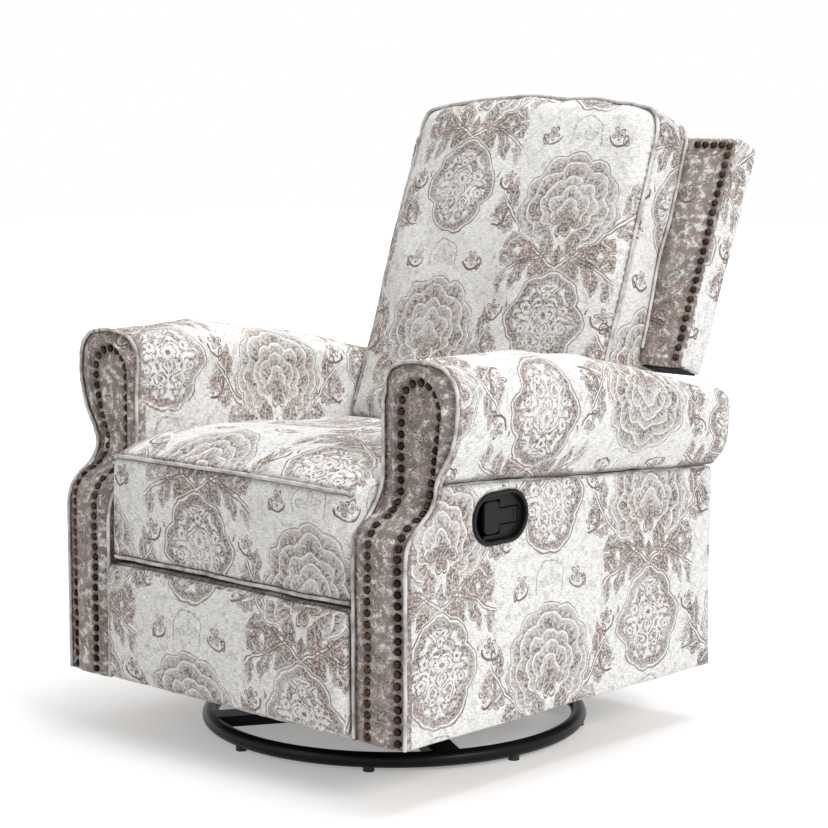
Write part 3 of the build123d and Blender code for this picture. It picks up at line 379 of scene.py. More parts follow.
def branch(u, v, lean, bend, reach, grain, seed):
    """A branch that leaves (0, 0) leaning from upright and bends as it grows."""
    along = u * math.sin(lean) + v * math.cos(lean)
    across = u * math.cos(lean) - v * math.sin(lean) - along * along * bend
    return leafy_branch(along, across, reach, seed, grain)


def make_print():
    """The faded damask as a node group: cloth coordinates in metres to ink strength."""
    group = bpy.data.node_groups.new("damask_print", "ShaderNodeTree")
    group.interface.new_socket("Vector", in_out="INPUT", socket_type="NodeSocketVector")
    group.interface.new_socket("Ink", in_out="OUTPUT", socket_type="NodeSocketFloat")
    entry = group.nodes.new("NodeGroupInput")
    leave = group.nodes.new("NodeGroupOutput")
    cloth = entry.outputs["Vector"]

    # the drawn lines wander a little
    wander = noise(group, cloth, 26.0, 2.0, output="Color")
    moved = add_node(group, "VectorMath", {0: wander, 1: (0.020, 0.020, 0.0), 2: cloth}, operation="MULTIPLY_ADD")
    parts = add_node(group, "SeparateXYZ", {0: moved.outputs[0]})
    across, up = Term(parts.outputs["X"]), Term(parts.outputs["Y"])

    grain = (noise(group, cloth, 210.0, 3.0, 0.65) - 0.5).step(0.11)

    # one column at a time: every second one hangs half a repeat lower
    odd = ((across * (2 * math.pi / REPEAT_X)).cos() * -1.0).step(0.0001)
    column_v = up - odd * (REPEAT_Z / 2)
    u, v = across.wrapped(REPEAT_X / 2), column_v.wrapped(REPEAT_Z)
    other = (column_v - REPEAT_Z / 2).wrapped(REPEAT_Z)
    side = abs(u)
    round_body, round_ink = medallion(u, v, grain)
    tall_body, tall_ink = bloom(u, other, grain)
    front = round_body.high(tall_body)
    front_ink = round_ink.high(tall_ink)
    behind = arch(u, v + 0.128, grain)
    for place, tip in (((0.110, 0.020), 2.2), ((0.100, -0.050), 0.6), ((0.066, -0.128), 1.5)):
        behind = behind.high(small_sprig(side - place[0], v - place[1], tip, grain))

    # the branches reach over into the next column
    for drop_x, drop_z in ((0.0, 0.0), (REPEAT_X / 2, REPEAT_Z / 2)):
        side = abs((across - drop_x).wrapped(REPEAT_X))
        other = (up - drop_z - REPEAT_Z / 2).wrapped(REPEAT_Z)
        behind = behind.high(branch(side, other + 0.138, 1.08, -1.3, 0.185, grain, 0.0))
        behind = behind.high(branch(side - 0.030, other + 0.118, 1.75, 2.4, 0.095, grain, 0.013))
    ink = without(behind, front).high(front_ink)

    # wear: the ink is thin in cloudy patches and broken by the weave
    patch = (noise(group, cloth, 13.0, 3.0, 0.6) - 0.42).step(0.22) * 0.40 + 0.63
    broken = (noise(group, cloth, 560.0, 2.0, 0.7) - 0.42).step(0.14) * 0.62 + 0.48
    smear = (noise(group, cloth, 62.0, 4.0, 0.75) - 0.565).step(0.12) * 0.30
    ink = (ink.high(smear) * patch * broken).low(1.0)
    feed(leave, {"Ink": ink})
    return group


PRINT = make_print()


def make_damask(name, ink_and_shade=0.0):
    """Slubbed linen weave with the faded print on it and painted shade in its creases; the second argument adds
    clouds of ink, partly denser print and partly painted shade.
    """
    material, tree, shader = new_material(name)
    vector = attribute(tree, "cloth", "Vector")
    # threads are streaks six times as long as wide
    weft = noise(tree, stretched(tree, vector, (1.0, 6.0, 1.0)), 105.0, 3.0, 0.6)
    warp = noise(tree, stretched(tree, vector, (6.0, 1.0, 1.0)), 110.0, 2.0, 0.6)
    weave = weft * 0.54 + warp * 0.32 + noise(tree, vector, 620.0, 2.0, 0.7) * 0.14

    mottle = (weave - 0.472).step(0.165)
    linen = mix(tree, mottle, LINEN_SHADE, LINEN)
    thread = mix(tree, (noise(tree, vector, 34.0, 3.0) - 0.5).step(0.35), TAUPE, TAUPE_LIGHT)
    strength = Term(add_node(tree, "Group", {"Vector": vector}, node_tree=PRINT).outputs["Ink"])
    # clouds of ink: partly denser print, partly painted shade
    if ink_and_shade:
        clouds = noise(tree, vector, 70.0, 6.0, 0.72)
        strength = strength.high((clouds - 0.46).step(0.11) * ink_and_shade)
    colour = mix(tree, strength, linen, thread)
    # painted shade: the colour darkens towards CREASE_SHADE by the crease mask along pipings, seams and nail heads
    crease_shaded_colour = mix(tree, Term(attribute(tree, "crease", "Fac")) * 0.88, colour, CREASE_SHADE)
    feed(shader, {"Base Color": crease_shaded_colour, "Roughness": 0.92, "Specular IOR Level": 0.25})
    feed(shader, {"Sheen Weight": 0.10, "Sheen Roughness": 0.6})
    bump(tree, shader, weave, 0.0010, 0.40)
    return material


def make_linen_cord():
    """The same linen over piping cord, without a print."""
    material, tree, shader = new_material("piping_linen")
    vector = object_vector(tree)
    stops = ((0.35, (0.38, 0.335, 0.315, 1.0)), (0.50, (0.60, 0.575, 0.56, 1.0)), (0.66, (0.76, 0.745, 0.73, 1.0)))
    colour = ramp(tree, noise(tree, vector, 38.0, 3.0, 0.6), stops)
    feed(shader, {"Base Color": colour, "Roughness": 0.93, "Specular IOR Level": 0.25})
    bump(tree, shader, noise(tree, vector, 1000.0, 2.0), 0.0012, 0.5)
    return material


def make_plain(name, colour, rough, metallic=0.0, grain=300.0, depth=0.0002, wear=None, specular=0.5):
    """A finish with fine grain, uneven gloss and blotches, of the wear colour or darker."""
    material, tree, shader = new_material(name)
    vector = object_vector(tree)
    fine = noise(tree, vector, grain, 3.0, 0.6)
    other = wear or tuple(c * 0.75 for c in colour)
    tint = ramp(tree, noise(tree, vector, 9.0, 3.0, 0.6), ((0.36, other + (1.0,)), (0.62, colour + (1.0,))))
    feed(shader, {"Base Color": tint, "Roughness": fine * 0.16 + (rough - 0.08)})
    feed(shader, {"Metallic": metallic, "Specular IOR Level": specular})
    bump(tree, shader, fine, depth, 0.5)
    return material


def make_wood():
    material, tree, shader = new_material("bare_plywood")
    rings = noise(tree, stretched(tree, object_vector(tree), (1.0, 12.0, 12.0)), 14.0, 6.0, 0.6)
    colour = ramp(tree, rings, ((0.35, (0.34, 0.22, 0.11, 1.0)), (0.65, (0.60, 0.44, 0.26, 1.0))))
    feed(shader, {"Base Color": colour, "Roughness": 0.7})
    bump(tree, shader, rings, 0.0004, 0.5)
    return material


DAMASK = make_damask("linen_damask")
# a darker copy of the damask, denser ink and painted shade, for the arm facings and the shell's front
DAMASK_INK_AND_SHADE = make_damask("linen_damask_ink_and_painted_shade", 0.82)
PIPING = make_linen_cord()
BLACK_STEEL = make_plain("black_powder_coat", (0.0045, 0.0045, 0.0048), 0.36, 0.0, 700.0, 0.0001, specular=0.16)
PLASTIC = make_plain("black_grained_plastic", (0.007, 0.007, 0.0075), 0.42, 0.0, 1500.0, 0.00015, specular=0.15)
BRONZE = make_plain("antique_bronze", (0.015, 0.010, 0.007), 0.26, 1.0, 520.0, 0.0003, (0.060, 0.037, 0.024))
SLOT_FINISH = {
    "damask_fabric": DAMASK,
    "black_steel": BLACK_STEEL,
    "zinc_steel": make_plain("zinc_plated_steel", (0.46, 0.47, 0.48), 0.42, 1.0, 400.0, 0.0001, (0.36, 0.35, 0.33)),
    "black_plastic": PLASTIC,
    "nylon": make_plain("natural_nylon", (0.70, 0.69, 0.63), 0.45),
    "rubber": make_plain("black_rubber", (0.022, 0.022, 0.022), 0.75),
    "wood": make_wood(),
    "nail_bronze": BRONZE,
    "black_cloth": make_plain("black_dust_cloth", (0.014, 0.014, 0.015), 0.95, 0.0, 900.0, 0.0006),
    "cable_jacket": make_plain("cable_sheath", (0.018, 0.018, 0.018), 0.5),
}
for row in frame["record"]["subparts"]:
    solid = NODES[row["node"]]
    solid.data.materials.clear()
    solid.data.materials.append(SLOT_FINISH[row["material_slot"]])


# ---- mesh tools
def read(items, attribute, width=3, kind=float):
    """An attribute of all these items, a row for each item."""
    flat = np.empty(len(items) * width, kind)
    items.foreach_get(attribute, flat)
    return flat.reshape(-1, width)


def points_of(mesh):
    return read(mesh.vertices, "co")


def normals_of(mesh):
    return read(mesh.vertex_normals, "vector")


def face_normals(mesh):
    return read(mesh.polygons, "normal")


def corner_vertices(mesh):
    """The vertex that each face corner is at."""
    return read(mesh.loops, "vertex_index", 1, int)[:, 0]


def on_corners(mesh, values):
    """Each face's value, repeated for its corners."""
    return np.repeat(values, read(mesh.polygons, "loop_total", 1, int)[:, 0])


def set_points(mesh, points):
    mesh.vertices.foreach_set("co", points.ravel())
    mesh.update()


def make_mesh(name, vertices, faces):
    mesh = bpy.data.meshes.new(name)
    mesh.from_pydata(vertices, [], faces)
    mesh.update()
    return mesh


def point_tree(spots):
    """A tree that finds the nearest of these spots."""
    tree = KDTree(len(spots))
    for index, spot in enumerate(spots):
        tree.insert(Vector(spot), index)
    tree.balance()
    return tree


def surface_tree(mesh):
    """A tree that finds the nearest place on the mesh's surface."""
    return BVHTree.FromPolygons([v.co.copy() for v in mesh.vertices], [tuple(p.vertices) for p in mesh.polygons])


def lengths_along(path):
    """How far along the path each of its points is."""
    return np.concatenate(([0.0], np.cumsum(np.linalg.norm(np.diff(path, axis=0), axis=1))))


def add_object(name, mesh, material):
    obj = bpy.data.objects.new(name, mesh)
    SCENE.collection.objects.link(obj)
    mesh.materials.clear()
    mesh.materials.append(material)
    return obj


def evaluated_mesh(obj):
    """The mesh that the object's modifiers or bevel leave."""
    bpy.context.view_layer.update()
    return bpy.data.meshes.new_from_object(obj.evaluated_get(bpy.context.evaluated_depsgraph_get()))


def bake_modifiers(obj):
    mesh = evaluated_mesh(obj)
    obj.modifiers.clear()
    obj.data = mesh
    return obj


def welded(node):
    """A CAD node's mesh with its faces joined."""
    bm = bmesh.new()
    bm.from_mesh(NODES[node].data)
    bmesh.ops.remove_doubles(bm, verts=bm.verts, dist=WELD)
    return bm


def copy_node(name, node, material):
    """A new object with the CAD node's shape, to be worked on."""
    bm = welded(node)
    mesh = bpy.data.meshes.new(name)
    bm.to_mesh(mesh)
    bm.free()
    return add_object(name, mesh, material)


def shade_smooth(obj):
    obj.data.polygons.foreach_set("use_smooth", [True] * len(obj.data.polygons))
    return obj


def soften(obj, voxel, rounds):
    """Remesh at voxel and smooth, so that hard edges turn into padded ones."""
    remesh = obj.modifiers.new("remesh", "REMESH")
    remesh.mode = "VOXEL"
    remesh.voxel_size = voxel
    smooth = obj.modifiers.new("smooth", "SMOOTH")
    smooth.factor = 0.5
    smooth.iterations = rounds
    return shade_smooth(bake_modifiers(obj))


def refine(obj):
    obj.modifiers.new("subdivide", "SUBSURF").levels = 1
    return shade_smooth(bake_modifiers(obj))


def lumps(points, size, seed):
    """Smooth random relief of about +-1, the same on each run."""
    random = np.random.default_rng(seed)
    relief = np.zeros(len(points))
    for _ in range(RELIEF_WAVES):
        direction = random.normal(size=3)
        direction /= np.linalg.norm(direction)
        pitch = size * random.uniform(0.7, 1.6)
        relief += np.sin(points @ direction * (2 * math.pi / pitch) + random.uniform(0, 2 * math.pi))
    return relief / math.sqrt(RELIEF_WAVES)


def dent(obj, size, depth, seed):
    """Move the surface in and out by smooth relief."""
    points = points_of(obj.data)
    relief = lumps(points, size, seed) * depth
    set_points(obj.data, points + normals_of(obj.data) * relief[:, None])
    return obj


def inflate(obj, cap, axes, loose):
    """Blow a closed pad up as cloth; no point moves further than cap along the axes.

    loose, where given, is each point's share of its movement, from 0, held, to 1.
    """
    before = points_of(obj.data)
    cloth = obj.modifiers.new("cloth", "CLOTH")
    settings = cloth.settings
    settings.quality = 5
    settings.mass = 0.3
    settings.use_pressure = True
    settings.uniform_pressure_force = CLOTH_PRESSURE
    settings.effector_weights.gravity = 0.0
    cloth.point_cache.frame_start = 1
    cloth.point_cache.frame_end = CLOTH_STEPS
    for step in range(1, CLOTH_STEPS + 1):
        SCENE.frame_set(step)
    bake_modifiers(obj)
    SCENE.frame_set(1)
    moved = (points_of(obj.data) - before) @ axes.T
    cap = np.array(cap)
    moved = np.tanh(moved / cap) * cap
    if loose is not None:
        moved *= loose(before)[:, None]
    set_points(obj.data, before + moved @ axes)
    return obj


def store_cloth(mesh, cloth):
    layer = mesh.attributes.new("cloth", "FLOAT_VECTOR", "CORNER")
    layer.data.foreach_set("vector", cloth.astype(np.float32).ravel())


def lay_cloth(obj, axes=np.eye(3), shift=(0.0, 0.0)):
    """Cloth coordinates in metres on each face corner, flat on the nearest main plane."""
    mesh = obj.data
    corner = (points_of(mesh) @ axes.T)[corner_vertices(mesh)]
    facing = on_corners(mesh, np.argmax(np.abs(face_normals(mesh) @ axes.T), axis=1))
    cloth = np.zeros_like(corner)
    cloth[:, 0] = np.where(facing == 0, corner[:, 1], corner[:, 0]) + shift[0]
    cloth[:, 1] = np.where(facing == 2, corner[:, 1], corner[:, 2]) + shift[1]
    store_cloth(mesh, cloth)


def lay_front(obj, shift):
    """Cloth coordinates of a piece seen from the front; its slopes use up cloth too."""
    mesh = obj.data
    corner = points_of(mesh)[corner_vertices(mesh)]
    cloth = np.zeros_like(corner)
    cloth[:, 0] = corner[:, 0] + shift[0]
    heights = np.linspace(0.0, 0.7, 200)
    risen = lengths_along([(height, face_y(height)) for height in heights])
    cloth[:, 1] = np.interp(corner[:, 2], heights, risen) + shift[1]
    # its sides carry on the print of the arm's side
    turned = on_corners(mesh, np.abs(face_normals(mesh)[:, 0]) > 0.7)
    cloth[turned, 0] = corner[turned, 1] + PANEL_CLOTH[0]
    cloth[turned, 1] = corner[turned, 2] + PANEL_CLOTH[1]
    store_cloth(mesh, cloth)


def catmull(points, steps):
    """A smooth run of points through the given ones."""
    points = [np.array(p, float) for p in points]
    ends = [2 * points[0] - points[1]] + points + [2 * points[-1] - points[-2]]
    run = []
    for a, b, c, d in zip(ends, ends[1:], ends[2:], ends[3:]):
        for index in range(steps):
            t = index / steps
            bend, twist = 2 * a - 5 * b + 4 * c - d, 3 * b - a - 3 * c + d
            run.append(0.5 * (2 * b + (c - a) * t + bend * t**2 + twist * t**3))
    run.append(points[-1])
    return run


def smoothed(points, rounds=3):
    """The same run of points with its jitter taken out; the ends stay."""
    points = np.array(points, float)
    for _ in range(rounds):
        points[1:-1] = 0.25 * points[:-2] + 0.5 * points[1:-1] + 0.25 * points[2:]
    return points


def press_seam(host, spots, depth, reach):
    """A groove in the host's surface along these points, remembered as its crease, a mask for painted shade in the
    cloth's colour.
    """
    points = points_of(host.data)
    tree = point_tree(spots)
    spots = np.array(spots)
    low, high = spots.min(axis=0) - 3 * reach, spots.max(axis=0) + 3 * reach
    near = np.nonzero(((points > low) & (points < high)).all(axis=1))[0]
    gap = np.full(len(points), 1.0)
    for index in near:
        gap[index] = tree.find(Vector(points[index]))[2]
    press = np.exp(-((gap / reach) ** 2))
    set_points(host.data, points - normals_of(host.data) * (press * depth)[:, None])
    crease = host.data.attributes.get("crease") or host.data.attributes.new("crease", "FLOAT", "POINT")
    old = np.empty(len(points), np.float32)
    crease.data.foreach_get("value", old)
    crease.data.foreach_set("value", np.maximum(old, press.astype(np.float32)))


PIPING_PROUD = 0.25  # the cord's middle stands this share of its radius above the cloth
PIPING_REACH = 0.0062  # how far from the cord the cloth is drawn in and darkened with painted shade


def piping(name, points, host, body, radius=0.0031, depth=0.0036):
    """Corded welt sewn into the host's surface along the given points."""
    tree = surface_tree(host.data)
    spots = []
    for point in points:
        place, normal, _, _ = tree.find_nearest(Vector(point))
        spots.append(np.array(place + normal * radius * PIPING_PROUD))
    spots = smoothed(spots)
    # the cloth along the cord is pressed in, with painted shade along it
    press_seam(host, spots, depth, PIPING_REACH)
    curve = bpy.data.curves.new(name, "CURVE")
    curve.dimensions = "3D"
    curve.bevel_depth = radius
    curve.bevel_resolution = 3
    curve.use_fill_caps = True
    run = curve.splines.new("POLY")
    run.points.add(len(spots) - 1)
    for knot, spot in zip(run.points, spots):
        knot.co = (*spot, 1.0)
    obj = bpy.data.objects.new(name, curve)
    SCENE.collection.objects.link(obj)
    mesh = evaluated_mesh(obj)
    bpy.data.objects.remove(obj)
    welt = add_object(name, mesh, PIPING)
    shade_smooth(welt)
    # the cord's cover is gathered a little, so its surface is never quite round
    dent(welt, 0.012, 0.00025, 5)
    dress(welt, body)


def dress(obj, body, *nodes, slot="damask_fabric", padded=None):
    """Hide the CAD nodes that the piece stands for, and put it on the body that it rides on."""
    if nodes:
        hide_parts(*nodes)
    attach(obj, body)
    return obj


def stuffed(name, node, body, shape, cap, dents, shift, fill, axes=np.eye(3), loose=None):
    """A padded piece for a CAD node: softened, blown up, dented and covered with the print.

    shape is (voxel, smoothing rounds), and dents are (size, depth, seed).
    """
    obj = soften(copy_node(name, node, DAMASK), *shape)
    inflate(obj, cap, axes, loose)
    for size, depth, seed in dents:
        dent(obj, size, depth, seed)
    refine(obj)
    lay_cloth(obj, axes, shift)
    return dress(obj, body, node, padded=fill)


def back_point(across, along, proud):
    """The place this far across the back, up along it and in front of its plane."""
    return np.array((across, BACK_FOOT, 0.0)) + along * BACK_UP + proud * BACK_OUT


# ---- seat cushion
FRONT_CLOTH = (0.05, 0.11)  # the print's place on the seat and the footrest pad


def seat_slack(points):
    """The cushion's border is held, and its top is free to swell."""
    return np.clip((points[:, 2] - 0.34) / 0.10, 0.0, 1.0)


seat = stuffed(
    "SeatCushion", "seat_cushion", "seat", (CUSHION_VOXEL, 4), (0.0015, 0.004, 0.010),
    ((0.16, 0.0022, 11), (0.05, 0.0005, 12)), FRONT_CLOTH, 0.75, loose=seat_slack,
)
half_line = [(0.0, -0.380, 0.4675), (0.19, -0.378, 0.4645), (0.268, -0.372, 0.4600)]
top_line = [(-x, y, z) for x, y, z in half_line[:0:-1]] + half_line
piping("SeatTopPiping", catmull(top_line, 24), seat, "seat")
low_line = [(-0.268, -0.380, 0.2975), (0.0, -0.3835, 0.2960), (0.268, -0.380, 0.2975)]
piping("SeatBottomPiping", catmull(low_line, 40), seat, "seat")

# ---- footrest pad
pad = stuffed(
    "FootrestPad", "footrest_pad", "footrest", (PANEL_VOXEL, 3), (0.001, 0.005, 0.0010),
    ((0.11, 0.0012, 21),), FRONT_CLOTH, 0.8,
)
pad_low, pad_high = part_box("footrest_pad")
hem = pad_low.z + 0.003
run = catmull([(-0.270, -0.379, hem), (0.0, -0.381, hem), (0.270, -0.379, hem)], 40)
piping("FootrestBottomPiping", run, pad, "footrest")
# the top edge is pressed in behind the seat cushion's lower piping, with painted shade along it
top_edge = [(x, -0.381, pad_high.z - 0.0015) for x in np.linspace(-0.272, 0.272, 180)]
press_seam(pad, top_edge, 0.0024, 0.0042)
for side_name, side in SIDES:
    run = catmull([(side * 0.274, -0.379, pad_low.z + 0.004), (side * 0.274, -0.379, pad_high.z - 0.004)], 40)
    piping(f"FootrestSidePiping{side_name.capitalize()}", run, pad, "footrest")

# ---- back cushion
cushion = stuffed(
    "BackCushion", "back_cushion", "back", (CUSHION_VOXEL, 4), (0.0012, 0.012, 0.0015),
    ((0.17, 0.0025, 31), (0.05, 0.0005, 32)), (0.10, -0.02), 0.75, BACK_AXES,
)
# the cushion's half width, the height along the back of its corners and crown, and its corner radius
CUSHION_HALF, CORNER_HEIGHT, CROWN_HEIGHT, CORNER_RADIUS = 0.272, 1.053, 1.072, 0.040


def cushion_outline(proud, low):
    """Points round the back cushion's edge at one depth, from foot to foot over the top."""
    inner, bend = CUSHION_HALF - CORNER_RADIUS, CORNER_HEIGHT - CORNER_RADIUS
    right = [(CUSHION_HALF, low + (bend - low) * i / 12) for i in range(13)]
    for index in range(1, 9):
        turn = math.pi / 2 * index / 8
        right.append((inner - 0.004 + CORNER_RADIUS * math.cos(turn), bend + CORNER_RADIUS * math.sin(turn)))
    top = []
    for index in range(1, 12):
        place = 1 - 2 * index / 12
        top.append((inner * place, CORNER_HEIGHT + (CROWN_HEIGHT - CORNER_HEIGHT) * (1 - place**2)))
    left = [(-x, z) for x, z in reversed(right)]
    return [back_point(x, z, proud) for x, z in catmull(right + top + left, 3)]


piping("BackCushionFrontPiping", cushion_outline(0.092, 0.50), cushion, "back")
piping("BackCushionRearPiping", cushion_outline(0.006, 0.66), cushion, "back")

# ---- the back's shell
shell = copy_node("BackShell", "back_shell", DAMASK)
soften(shell, PANEL_VOXEL, 4)
dent(shell, 0.10, 0.0008, 41)
lay_cloth(shell, BACK_AXES, (0.02, 0.04))
# its front faces carry the darker copy of the damask: painted shade on the faces turned to the front
shell.data.materials.append(DAMASK_INK_AND_SHADE)
painted_shade_faces = (face_normals(shell.data) @ BACK_OUT > 0.75).astype(np.int32)
shell.data.polygons.foreach_set("material_index", painted_shade_faces)
dress(shell, "back", "back_shell", padded=0.9)

# ---- arms
ROLL_OUTLINE = (
    (0.279, 0.096), (0.279, 0.250), (0.279, 0.420), (0.279, 0.560), (0.2795, 0.594), (0.288, 0.639), (0.313, 0.6545),
    (0.351, 0.659), (0.3977, 0.6527), (0.4208, 0.6266), (0.425, 0.5978), (0.4174, 0.5438), (0.3897, 0.4952),
    (0.383, 0.479), (0.383, 0.440), (0.383, 0.360), (0.383, 0.250), (0.383, 0.096),
)
# the front's S-curve runs back from FACE_LOW to FACE_HIGH between these heights
S_LOW, S_HIGH, FACE_LOW, FACE_HIGH = 0.381, 0.475, -0.387, -0.322
ROLL_FRONT = -0.300
ROLL_CENTRE = (0.345, 0.585)
# the roll's top at these places along y, and the seam below it, which falls towards the rear
ROLL_TOPS = ((ROLL_FRONT, -0.110, 0.110, 0.371), (0.659, 0.661, 0.626, 0.566))
SEAM_X, SEAM_FRONT, SEAM_FALL = 0.3835, 0.479, 0.048
ROLL_LENGTH, ROLL_RISE = 0.673, 0.180
PANEL_CLOTH = (0.045, 0.02)  # the print's place on the arm's side
END_DEPTH = 0.004


def face_y(height):
    """Y of the arm's S-curved front at this height."""
    share = min(max((height - S_LOW) / (S_HIGH - S_LOW), 0.0), 1.0)
    return FACE_LOW + (FACE_HIGH - FACE_LOW) * (3 * share**2 - 2 * share**3)


def seam_height(y):
    """Height of the seam under the arm's roll."""
    return SEAM_FRONT - SEAM_FALL * (y - ROLL_FRONT) / ROLL_LENGTH


def outline_path(side):
    """The arm's outline, seen from the front."""
    return np.array(catmull([(x * side, 0.0, z) for x, z in ROLL_OUTLINE], 12))


def reach_forward(obj, front_at, amount):
    """Move the end at front_at(height) forward, so that the facing hides its rounded edge."""
    points = points_of(obj.data)
    front = points[:, 1] < np.array([front_at(z) for z in points[:, 2]]) + END_DEPTH
    points[front, 1] -= amount
    set_points(obj.data, points)


def wrap_cloth(obj, side, shift):
    """Cloth wound over the arm: upright on its inner face, over the top and down to the seam."""
    mesh = obj.data
    points = points_of(mesh)
    path = np.array(catmull([(x, 0.0, z) for x, z in ROLL_OUTLINE[2:14]], 30))
    lengths = lengths_along(path)
    tree = point_tree(path)
    # every section of the roll is wound as its front end is
    seam = seam_height(points[:, 1])
    top = np.interp(points[:, 1], *ROLL_TOPS)
    lifted = (points[:, 2] - seam) / (top - seam) * ROLL_RISE + SEAM_FRONT
    wound = np.array([lengths[tree.find(Vector((x * side, 0.0, z)))[1]] for x, z in zip(points[:, 0], lifted)])
    corner_vertex = corner_vertices(mesh)
    corner = points[corner_vertex]
    cloth = np.zeros_like(corner)
    cloth[:, 0] = corner[:, 1] * side + shift[0]
    cloth[:, 1] = wound[corner_vertex] + shift[1]
    rear = on_corners(mesh, face_normals(mesh)[:, 1] > 0.75)
    cloth[rear, 0] = corner[rear, 0]
    cloth[rear, 1] = corner[rear, 2]
    store_cloth(mesh, cloth)


def crown_facing(obj, side):
    """The facing's padding: proud in the middle and turned back towards its piping."""
    points = points_of(obj.data)
    tree = point_tree(outline_path(side))
    gaps = np.array([tree.find(Vector((x, 0.0, z)))[2] for x, _, z in points])
    inner = np.clip(gaps / 0.034, 0.0, 1.0)
    slope = inner * inner * (3.0 - 2.0 * inner)
    front = np.clip(-normals_of(obj.data)[:, 1] * 1.5, 0.0, 1.0)
    points[:, 1] += front * (0.0085 - 0.0115 * slope)
    set_points(obj.data, points)


def gather(obj, side):
    """Fifteen small pleats where the roll's cover is pulled in behind the facing."""
    points = points_of(obj.data)
    turn = np.arctan2(points[:, 2] - ROLL_CENTRE[1], points[:, 0] * side - ROLL_CENTRE[0])
    back = points[:, 1] - ROLL_FRONT
    pleat = np.sin(turn * 15.0 + 1.3 * np.sin(turn * 4.0)) * np.exp(-((back / 0.038) ** 2))
    waist = -np.exp(-((back / 0.020) ** 2)) * 1.1
    normals = normals_of(obj.data)
    relief = (0.0016 * pleat + 0.0018 * waist) * (1.0 - np.abs(normals[:, 1]))
    set_points(obj.data, points + normals * relief[:, None])


for side_name, side in SIDES:
    title = side_name.capitalize()
    panel = copy_node(f"ArmPanel{title}", f"arm_panel_{side_name}", DAMASK)
    reach_forward(panel, lambda z: face_y(z) + 0.022, 0.006)
    soften(panel, PANEL_VOXEL, 3)
    dent(panel, 0.14, 0.0010, 51)
    lay_cloth(panel, shift=PANEL_CLOTH)
    dress(panel, "chassis", f"arm_panel_{side_name}", padded=0.9)

    roll = copy_node(f"ArmRoll{title}", f"arm_roll_{side_name}", DAMASK)
    reach_forward(roll, lambda z: ROLL_FRONT, 0.005)
    refine(soften(roll, PANEL_VOXEL, 5))
    dent(roll, 0.12, 0.0022, 61 + side)
    dent(roll, 0.04, 0.0005, 63)
    gather(roll, side)
    wrap_cloth(roll, side, (0.05 + 0.06 * side, 0.03))
    dress(roll, "chassis", f"arm_roll_{side_name}", padded=0.8)

    # the facings carry the darker copy of the damask: denser ink and painted shade
    facing = copy_node(f"ArmFacing{title}", f"arm_facing_{side_name}", DAMASK_INK_AND_SHADE)
    soften(facing, FACING_VOXEL, 3)
    crown_facing(facing, side)
    dent(facing, 0.07, 0.0006, 71)
    lay_front(facing, (0.16, 0.02))
    dress(facing, "chassis", f"arm_facing_{side_name}", padded=0.85)
    edge = [(side * x, face_y(z) + 0.004, z) for x, z in catmull(ROLL_OUTLINE, 10)]
    piping(f"ArmFacingPiping{title}", edge, facing, "chassis", radius=0.0028, depth=0.0022)
    # the seam under the roll is pressed in, with painted shade along it
    seam = [(side * SEAM_X, y, seam_height(y)) for y in np.linspace(-0.298, 0.362, 240)]
    press_seam(roll, seam, 0.0016, 0.0075)
    press_seam(panel, seam, 0.0012, 0.0040)

rear = copy_node("RearPanel", "rear_panel", DAMASK)
soften(rear, PANEL_VOXEL, 3)
dent(rear, 0.14, 0.0010, 81)
lay_cloth(rear)
dress(rear, "chassis", "rear_panel", padded=0.9)


# ---- nails
def islands(node):
    """The points of each separate solid of a CAD node."""
    bm = welded(node)
    seen, groups = set(), []
    for start in bm.verts:
        if start in seen:
            continue
        seen.add(start)
        stack, group = [start], []
        while stack:
            vertex = stack.pop()
            group.append(np.array(vertex.co))
            for edge in vertex.link_edges:
                other = edge.other_vert(vertex)
                if other not in seen:
                    seen.add(other)
                    stack.append(other)
        groups.append(np.array(group))
    bm.free()
    return groups


NAIL_RADIUS = 0.0060
NAIL_PITCH = 0.0170
NAIL_PROFILE = ((1.0, -0.0008), (1.0, 0.0004), (0.95, 0.0016), (0.82, 0.0030), (0.60, 0.0040), (0.32, 0.0046))
NAIL_CROWN = 0.0048
NAIL_SIDES = 20
NAIL_MARGIN = 0.0170  # from a nail's middle to the arm front's outline
ROW_BREAK = 0.045  # a gap longer than this starts a new row
HOST_REACH = 0.03  # the cloth is within this of a CAD nail, before or behind it


def nail_rows(node):
    """The node's nails in order along each row, then evenly spaced again."""
    left = [group.mean(axis=0) for group in islands(node)]
    rows = []
    while left:
        left.sort(key=lambda place: place[2])
        row = [left.pop(0)]
        while left:
            gaps = [np.linalg.norm(place - row[-1]) for place in left]
            nearest = int(np.argmin(gaps))
            if gaps[nearest] > ROW_BREAK:
                break
            row.append(left.pop(nearest))
        path = smoothed(catmull(row, 12), 12)
        lengths = lengths_along(path)
        marks = np.linspace(0.0, lengths[-1], max(2, round(lengths[-1] / NAIL_PITCH) + 1))
        rows.append(np.stack([np.interp(marks, lengths, path[:, axis]) for axis in range(3)], axis=1))
    return np.concatenate(rows)


def keep_inside(rows, side):
    """Move places on an arm's front until they are the nails' margin inside its outline."""
    path = outline_path(side)[:, [0, 2]]
    for place in rows:
        away = place[[0, 2]] - path
        gaps = np.linalg.norm(away, axis=1)
        nearest = np.argmin(gaps)
        # a line across from an inside place crosses the outline an odd number of times
        higher = path[:, 1] > place[2]
        crossings = path[np.nonzero(higher[:-1] != higher[1:])[0], 0]
        inside = np.count_nonzero(crossings > place[0]) % 2 == 1
        gap = gaps[nearest] if inside else -gaps[nearest]
        if gap < NAIL_MARGIN:
            place[[0, 2]] = path[nearest] + away[nearest] / gap * NAIL_MARGIN
    return rows


